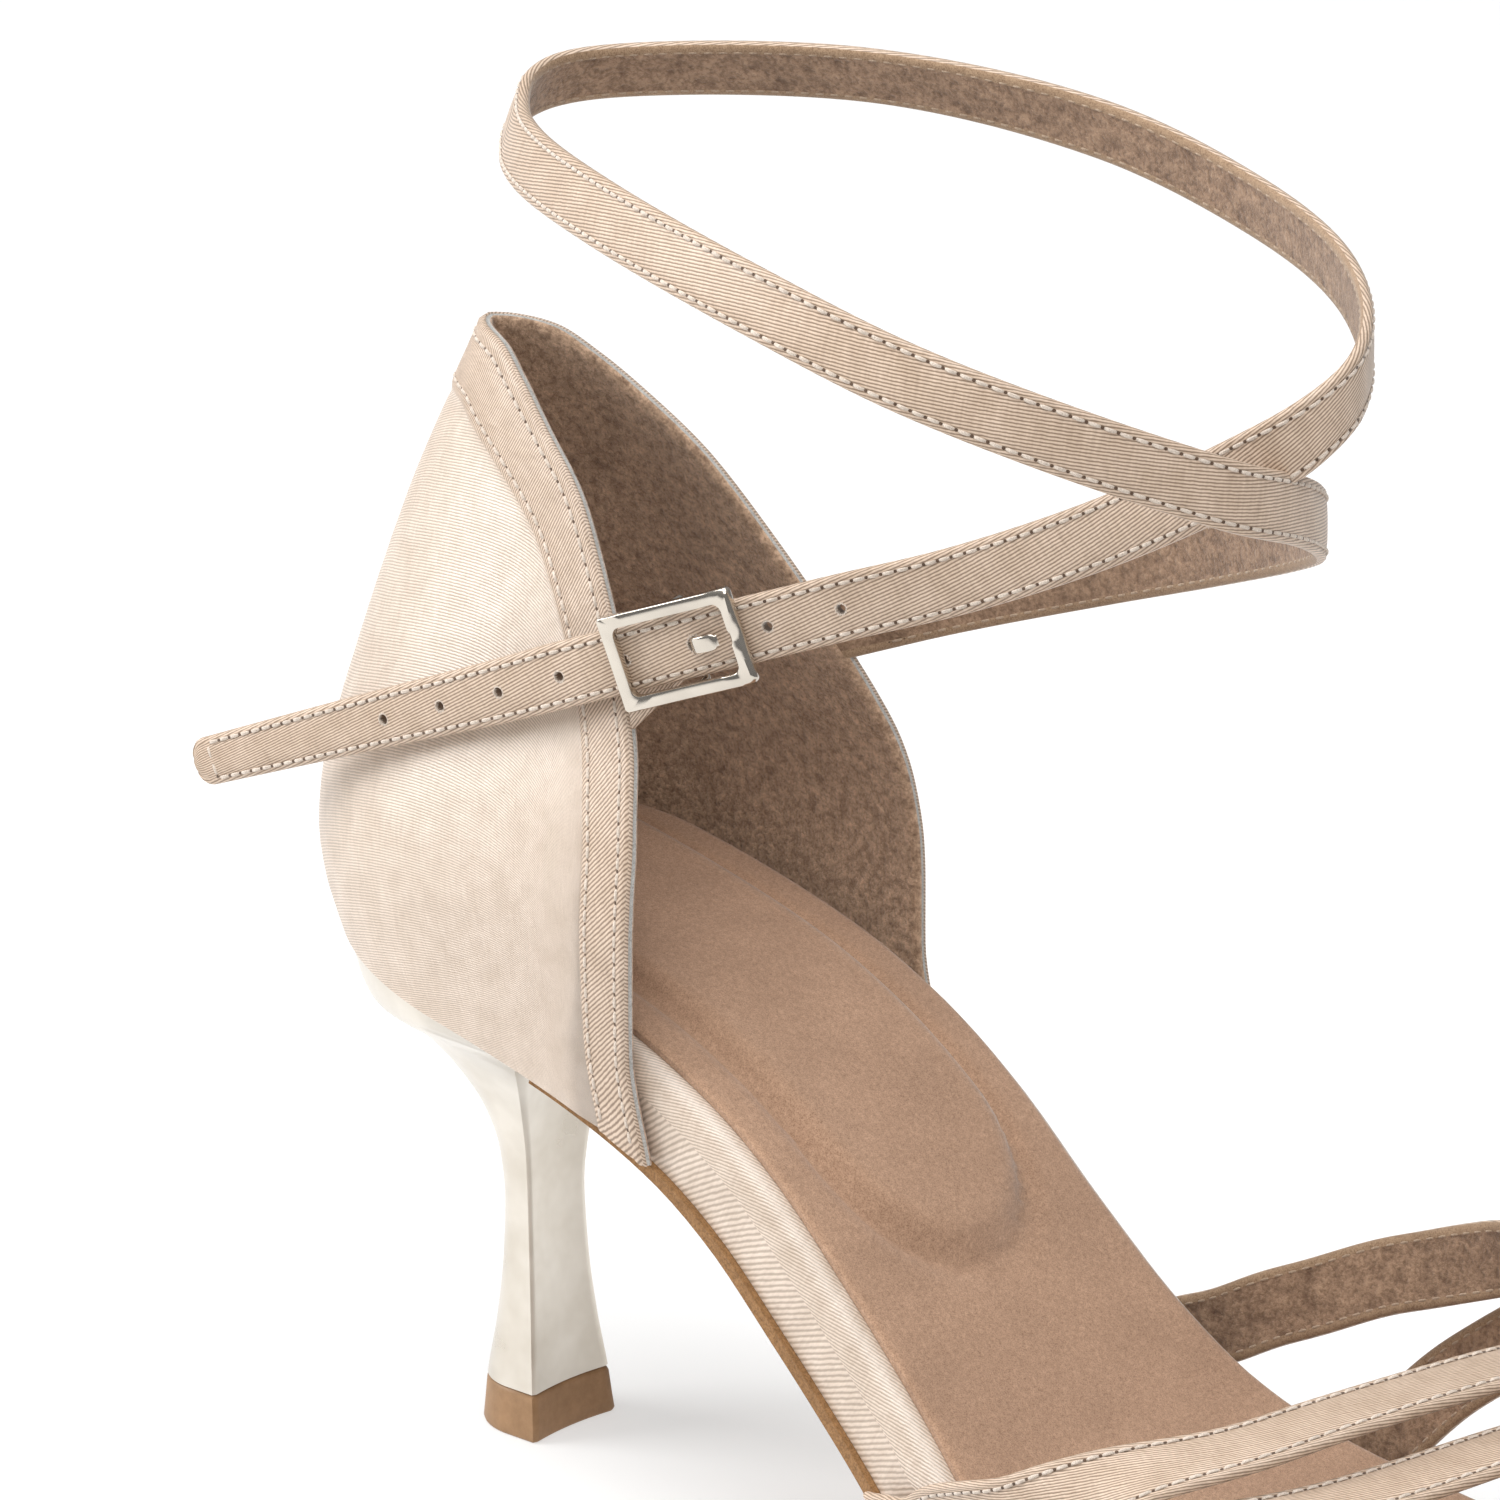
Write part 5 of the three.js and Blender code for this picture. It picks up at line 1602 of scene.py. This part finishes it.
@dataclass
class ToeStraps:
    """Forefoot straps that rise from the rim and cross over the instep."""

    last: Last
    width: float = 9.2
    thickness: float = 1.5
    clearance: float = 0.4
    instep: float = 49
    power: float = 0.36
    spread: float = 2.2
    hem: float = 100
    dip: float = 0.14
    seam: float = 0.76
    measures: int = 1600
    rows: int = 150
    dome: tuple[tuple[float, float, float], ...] = (
        (0.4, 0.7, 0.14),
        (0.47, 0.78, 0.13),
        (0.52, 0.89, 0.12),
        (0.58, 0.97, 0.14),
        (0.63, 0.97, 0.17),
        (0.7, 0.89, 0.22),
        (0.76, 0.775, 0.24),
        (0.82, 0.68, 0.22),
        (0.89, 0.52, 0.18),
        (0.99, 0.32, 0.14),
    )
    course: tuple[tuple[float, float, float], ...] = (
        (-0.06, -0.07, -0.07),
        (0, 0, 0),
        (0.05, 0.065, 0.05),
        (0.13, 0.14, 0.13),
        (0.18, 0.21, 0.2),
        (0.23, 0.29, 0.29),
        (0.28, 0.36, 0.4),
        (0.34, 0.45, 0.56),
        (0.42, 0.59, 0.71),
        (0.5, 0.705, 0.82),
        (0.6, 0.81, 0.9),
        (0.75, 0.92, 0.96),
        (1, 1, 1),
        (1.06, 1.01, 1.01),
    )
    straps: tuple[ToeStrap, ...] = (
        ToeStrap(0.478, 0.85, Side.OUTER, 0.75),
        ToeStrap(0.53, 0.898, Side.OUTER, 0.75),
        ToeStrap(0.582, 0.945, Side.OUTER, 0.75),
        ToeStrap(0.452, 0.9, Side.INNER, 0.0),
        ToeStrap(0.55, 0.94, Side.INNER, 0.0),
    )

    def __post_init__(self) -> None:
        """Prepares the columns of both tables."""
        self.rise, self.skew = (Column([r[0] for r in self.dome], [r[k] for r in self.dome]) for k in (1, 2))
        turns = [r[0] for r in self.course]
        self.forward = {side: Column(turns, [r[k] for r in self.course]) for k, side in enumerate(Side, 1)}

    def point(self, x: float, turn: float, offset: float) -> Vector:
        """Returns the top of the foot; turn runs from the outer edge to the inner."""
        last = self.last
        row = last.row_at(x)
        outer = -last.ball_width * last.outer(row) - self.clearance - offset
        inner = last.ball_width * last.inner(row) + self.clearance + offset
        if turn <= 0:
            return Vector((x, outer, last.feather(x) + turn * self.hem))
        if turn >= 1:
            return Vector((x, inner, last.feather(x) + (1 - turn) * self.hem))
        fore = turn**self.spread
        angle = math.pi * fore / (fore + (1 - turn) ** self.spread)
        swing = math.cos(angle)
        share = last.share(x)
        height = self.instep * self.rise(share) * (1 - self.skew(share) * swing) + offset
        lift = height * math.sin(angle) ** self.power
        return Vector((x, (outer + inner) / 2 - (inner - outer) / 2 * swing, last.feather(x) + lift))

    def route(self, strap: ToeStrap) -> Path:
        """Works out the centre line of a strap and its outward directions.

        Args:
            strap: ends, side and lift of the strap.

        Returns:
            Path with points about 1 mm apart.
        """
        start = self.last.back + self.last.length * strap.start
        end = self.last.back + self.last.length * strap.end

        def spot(turn: float) -> Vector:
            """Returns the centre of the strap at a turn."""
            x = lerp(start, end, self.forward[strap.side](turn))
            lift = self.thickness * (0.5 + strap.layer * math.sin(math.pi * clamp(turn, 0, 1)))
            return self.point(x, turn if strap.side is Side.OUTER else 1 - turn, lift)

        rough = Path([spot(t) for t in spread(-0.06, 1.06, self.measures)])
        line = [rough.point(d) for d in spread(0, rough.length, int(rough.length))]
        for _ in range(2):
            line = relax(line)
        outs = []
        for i, p in enumerate(line):
            ahead = line[min(i + 2, len(line) - 1)] - line[max(i - 2, 0)]
            girth = Vector((1, 0, (self.last.feather(p.x + 1) - self.last.feather(p.x - 1)) / 2))
            outs.append(girth.cross(ahead).normalized() * -strap.side.value)
        for _ in range(14):
            outs = [out.normalized() for out in relax(outs)]
        return Path(line, outs)

    def build(self, finishes: Rack) -> None:
        """Builds and sews the straps."""
        sewing, backing = Sewing(), back_sewing()
        cloth = StrapCloth(self.thickness, dip=self.dip)
        pieces = []
        half = self.width / 2
        for number, strap in enumerate(self.straps, 1):
            run = ToeRun(self.last, self.route(strap), half)
            draft = Draft()
            cloth.loft(draft, [(run.row(share), half) for share in spread(0, 1, self.rows)])
            draft.face_out()
            pieces.append(draft.dress(f"toe_strap_{number}", finishes.strap(), "satin", 60))
            for facing, thread in ((1, sewing), (-1, backing)):
                for b in (-half * self.seam, half * self.seam):
                    low, high = run.ends(b)
                    thread.row(run.face(b, facing * (self.thickness / 2 - 0.09)), low + 1.5, high - 1.5)
        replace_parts(pieces[0], "toe_straps")
        sewing.finish("toe_straps", finishes)
        backing.finish("toe_straps_lining", finishes, "back_thread")


# Buckle


@dataclass
class Buckle:
    """Flat rectangular frame, hooked prong and the tab that holds them."""

    strap: AnkleStrap
    length: float = 17.5
    height: float = 11.6
    bar: float = 1.6
    thickness: float = 1.3
    pin: float = 0.5
    room: float = 0.3
    prong_width: float = 1.0
    hook_width: float = 2.0
    prong_thickness: float = 0.7
    corner: float = 0.55
    inner_corner: float = 1.0
    bevel: float = 0.2
    front_dip: float = 0.15
    front_round: float = 0.55
    notch_depth: float = 0.3
    notch_width: float = 0.9
    leg_inset: float = 0.75
    leg_bend: float = 0.8
    prong_room: float = 0.12
    over_strap: float = 0.35
    under_strap: float = 0.75
    hook: tuple[tuple[float, float], ...] = (
        (-1.5, -0.9),
        (-1.75, 0.2),
        (-1.85, 1.0),
        (-2.05, 1.55),
        (-2.6, 1.95),
        (-3.4, 2.15),
        (-4.2, 2.15),
        (-4.9, 2.0),
        (-5.4, 1.75),
    )
    tab_width: float = 7.6
    tab_thickness: float = 1.0
    tab_slot: float = 2.2
    tab_top: float = 5.75
    tab_low: float = 6.5

    def __post_init__(self) -> None:
        """Places the buckle on the strap."""
        self.here = self.strap.frame(self.strap.buckle_at())
        self.under = self.strap.thickness / 2 + self.over_strap
        self.bar_centre = -(self.strap.thickness / 2 + self.under_strap + self.tab_thickness + self.pin)

    @staticmethod
    def rounded(length: float, height: float, radius: float) -> list[tuple[float, float]]:
        """Returns a rounded rectangle, always with the same count of points.

        Args:
            length: size along the strap.
            height: size across the strap.
            radius: radius of the corners.
        """
        x, y = length / 2 - radius, height / 2 - radius
        corners = []
        for cx, cy, start in ((x, y, 0), (-x, y, 90), (-x, -y, 180), (x, -y, 270)):
            arc = [math.radians(start + 15 * k) for k in range(7)]
            corners.append([(cx + radius * math.cos(t), cy + radius * math.sin(t)) for t in arc])
        line = []
        for k, arc in enumerate(corners):
            a, b = arc[-1], corners[(k + 1) % 4][0]
            line += arc
            line += [(lerp(a[0], b[0], n / 14), lerp(a[1], b[1], n / 14)) for n in range(1, 14)]
        return line

    def bar_section(self, width: float, bend: float) -> list[tuple[float, float]]:
        """Returns the section of a bar, from its outer top edge round to its outer side.

        Args:
            width: width of the bar.
            bend: rounding of the inner top edge.
        """
        h, e = self.thickness / 2, self.bevel
        top = [(e, h), (width - bend, h), (width - 0.3 * bend, h - 0.45 * bend), (width, h - bend)]
        low = [(width, e - h), (width - 0.3 * e, 0.3 * e - h), (width - e, -h), (e, -h)]
        side = [(0.3 * e, 0.3 * e - h), (0, e - h), (0, h - e), (0.3 * e, h - 0.3 * e)]
        return top + low + side

    def plate(self) -> Draft:
        """Returns the ring of the frame; its front bar dips and has a notch for the prong."""
        outer = self.rounded(self.length, self.height, self.corner)
        inner = self.rounded(self.length - 2 * self.bar, self.height - 2 * self.bar, self.inner_corner)
        rows = []
        for (oa, ob), (ia, ib) in zip(outer, inner):
            width = math.hypot(oa - ia, ob - ib)
            front = smooth((-(oa + ia) / 2 - self.length / 2 + self.bar + 1.2) / 1.6)
            notch = self.notch_depth * front * math.exp(-((((ob + ib) / 2) / self.notch_width) ** 4))
            row = []
            for away, rise in self.bar_section(width, self.bevel + self.front_round * front):
                share = away / width
                drop = self.front_dip * front * (0.6 + 0.4 * (1 - share)) + (notch * (1.2 - share) if rise > 0 else 0)
                out = self.under + self.thickness / 2 + rise - drop
                row.append(self.here.at(lerp(ia, oa, share), lerp(ib, ob, share), out))
            rows.append(row)
        draft = Draft()
        draft.sheet([*rows, rows[0]], ring=True)
        return draft

    def pins(self, draft: Draft) -> None:
        """Adds the bar under the strap and its two legs."""
        y, bend = self.height / 2 - self.leg_inset, self.leg_bend
        top, low = self.under + self.thickness / 2, self.bar_centre
        leg = [(y, top), (y, low + bend), (y - 0.25, low + 0.25), (y - bend, low)]
        course = [(-b, c) for b, c in leg] + [(0, low)] + leg[::-1]
        line = [self.here.square(b, c) for b, c in course]
        draft.tube(line, [(self.pin, self.pin)] * len(line), [self.here.along] * len(line), sides=12)

    def prong(self) -> Draft:
        """Returns the prong: ring on the bar, stem through the hole and the hooked point."""
        draft = Draft()
        ring = self.pin + self.prong_room + self.prong_thickness / 2
        line = []
        for angle in range(330, 170, -16):
            turn = math.radians(angle)
            line.append((ring * math.cos(turn), self.bar_centre + ring * math.sin(turn)))
        line += [(-ring - 0.1, self.bar_centre + 0.9), *self.hook]
        course = [line[0]]
        for a, b in zip(line, line[1:]):
            course += [(lerp(a[0], b[0], 0.5), lerp(a[1], b[1], 0.5)), b]
        points = [self.here.at(a, 0, c) for a, c in course]
        count = len(points)
        radii = []
        for k, (_, c) in enumerate(course):
            flat = smooth((c - 0.7) / 0.7)
            tip = 1 if k < count - 2 else 0.7
            wide = lerp(self.prong_width, self.hook_width, flat) / 2
            radii.append((wide * tip, self.prong_thickness / 2 * lerp(1, 0.8, flat) * tip))
        ups = []
        for k in range(count):
            ahead = (points[min(k + 1, count - 1)] - points[max(k - 1, 0)]).normalized()
            ups.append(ahead.cross(self.here.across).normalized())
        draft.tube(points, radii, ups, sides=16, square=0.5)
        return draft

    def tab(self) -> Draft:
        """Returns the tab: a band from the collar edge and two loops round the bar."""
        draft = Draft()
        ring = self.pin + self.room + self.tab_thickness / 2
        cloth = StrapCloth(self.tab_thickness, dip=0.05, crown=0.05)
        half = self.tab_width / 2

        def place(k: int) -> Place:
            """Returns the rows from the buckle to the collar."""

            def spot(b: float, c: float) -> Vector:
                """Returns a point of the band."""
                low, high = (self.strap.before_collar(r, Side.OUTER, c) for r in (self.tab_low, self.tab_top))
                collar = low.lerp(high, 0.5 + b / self.tab_width)
                near = self.here.at(1.6, b, self.bar_centre + c)
                return near.lerp(collar, smooth(k / 8))

            return spot

        cloth.loft(draft, [(place(k), half) for k in range(9)])
        for side in (-1, 1):
            middle = side * (half + self.tab_slot / 2) / 2
            width = (half - self.tab_slot / 2) / 2
            rows = []
            for angle in range(40, 321, 14):
                turn = math.radians(angle)

                def lobe(b: float, c: float, turn: float = turn) -> Vector:
                    """Returns a point of a loop round the bar."""
                    r = ring + c
                    return self.here.at(r * math.cos(turn), middle + b, self.bar_centre + r * math.sin(turn))

                rows.append((lobe, width))
            part = Draft()
            cloth.loft(part, rows)
            part.face_out()
            draft.take(part)
        return draft

    def build(self, finishes: Rack) -> None:
        """Builds frame, prong and tab."""
        ring = self.plate()
        ring.face_out()
        self.pins(ring)
        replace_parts(ring.dress("buckle_ring", finishes.pick("nickel"), "nickel", 40), "buckle_frame")
        prong = self.prong()
        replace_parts(prong.dress("buckle_hook", finishes.pick("nickel"), "nickel", 60), "buckle_prong")
        tab = self.tab()
        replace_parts(tab.dress("buckle_keeper_tab", finishes.strap(), "satin", 60), "buckle_tab")


# Studio


@dataclass
class Studio:
    """Floor, soft lights and camera.

    The camera's distance and aim are in millimetres, the floor and the lit place in metres.
    """

    azimuth: float = 43
    elevation: float = 18.5
    roll: float = -1
    distance: float = 1150
    focal: float = 9430
    pixels: float = 1500
    aim: tuple[float, float, float] = (8.69, 31.09, 80.0)
    floor_size: float = 12.0
    floor_drop: float = 0.00002
    lit: tuple[float, float, float] = (0.08, 0, 0.07)

    def toward(self, azimuth: float, elevation: float) -> Vector:
        """Returns the direction from the shoe toward a viewer."""
        a, e = math.radians(azimuth), math.radians(elevation)
        return Vector((math.sin(a) * math.cos(e), -math.cos(a) * math.cos(e), math.sin(e)))

    def camera(self) -> None:
        """Places the camera at the viewing angle."""
        data = bpy.data.cameras.new("camera")
        data.sensor_width = 36
        data.lens = self.focal * data.sensor_width / self.pixels
        data.clip_start, data.clip_end = 0.05, 50
        back = self.toward(self.azimuth, self.elevation)
        right = (-back).cross(Vector((0, 0, 1))).normalized()
        up = right.cross(-back)
        turn = math.radians(self.roll)
        x = right * math.cos(turn) + up * math.sin(turn)
        y = up * math.cos(turn) - right * math.sin(turn)
        place = (Vector(self.aim) + back * self.distance) * MILLIMETRE
        camera = bpy.data.objects.new("camera", data)
        camera.matrix_world = Matrix.Translation(place) @ Matrix((x, y, back)).transposed().to_4x4()
        bpy.context.scene.collection.objects.link(camera)
        bpy.context.scene.camera = camera

    def floor(self) -> None:
        """Lays the plain pale floor under the tread."""
        mesh = bpy.data.meshes.new("floor")
        s = self.floor_size
        mesh.from_pydata([(-s, -s, 0), (s, -s, 0), (s, s, 0), (-s, s, 0)], [], [(0, 1, 2, 3)])
        shader = Shader("pale_floor")
        shader.set(Base_Color=(0.5, 0.5, 0.5, 1), Roughness=0.85, Specular_IOR_Level=0.1)
        shader.set(Emission_Color=(1, 1, 1, 1), Emission_Strength=0.5)
        mesh.materials.append(shader.material)
        floor = bpy.data.objects.new("floor", mesh)
        floor.location.z = -self.floor_drop
        bpy.context.scene.collection.objects.link(floor)

    def light(
        self,
        name: str,
        azimuth: float,
        elevation: float,
        distance: float,
        size: float,
        power: float,
        tint: Colour,
    ) -> None:
        """Hangs a soft square light that points at the shoe.

        Args:
            name: name of the light.
            azimuth: direction in plan.
            elevation: height in degrees.
            distance: distance from the shoe in metres.
            size: side of the light in metres.
            power: watts.
            tint: colour.
        """
        data = bpy.data.lights.new(name, "AREA")
        data.size, data.energy, data.color = size, power, tint
        lamp = bpy.data.objects.new(name, data)
        direction = self.toward(azimuth, elevation)
        lamp.location = Vector(self.lit) + direction * distance
        lamp.rotation_euler = (-direction).to_track_quat("-Z", "Y").to_euler()
        bpy.context.scene.collection.objects.link(lamp)

    def sky(self) -> None:
        """Surrounds the shoe with even soft light, darker low down."""
        world = bpy.data.worlds.new("studio")
        world.use_nodes = True
        bpy.context.scene.world = world
        tree = world.node_tree
        background = tree.nodes["Background"]
        background.inputs["Strength"].default_value = 0.36
        coordinates = tree.nodes.new("ShaderNodeTexCoord")
        split = tree.nodes.new("ShaderNodeSeparateXYZ")
        ramp = tree.nodes.new("ShaderNodeValToRGB")
        tree.links.new(coordinates.outputs["Generated"], split.inputs[0])
        tree.links.new(split.outputs["Z"], ramp.inputs["Fac"])
        tree.links.new(ramp.outputs["Color"], background.inputs["Color"])
        elements = ramp.color_ramp.elements
        elements[0].position, elements[0].color = 0.0, (0.55, 0.55, 0.56, 1)
        elements[1].position, elements[1].color = 0.6, (1, 1, 1, 1)

    def build(self) -> None:
        """Sets the whole stage."""
        self.camera()
        self.floor()
        self.sky()
        self.light("key", -54, 26, 1.4, 0.8, 14, (1, 0.998, 0.99))
        self.light("fill", 52, 50, 1.6, 1.0, 11, (1, 0.99, 0.98))
        self.light("top", -30, 80, 1.5, 1.0, 16, WHITE)
        bpy.context.scene.view_settings.view_transform = "Standard"


def main() -> None:
    """Builds the stage and every piece of the shoe in order."""
    logging.basicConfig(level=logging.INFO, format="%(message)s")
    Studio().build()
    finishes = Rack(Wardrobe())
    last = Last()
    counter = Counter(last)
    strap = AnkleStrap(counter)
    for part in (Footbed(last), HeelBlock(last), counter, ToeStraps(last), strap, Buckle(strap)):
        part.build(finishes)
        log.info("%s done", type(part).__name__)


if __name__ == "__main__":
    main()
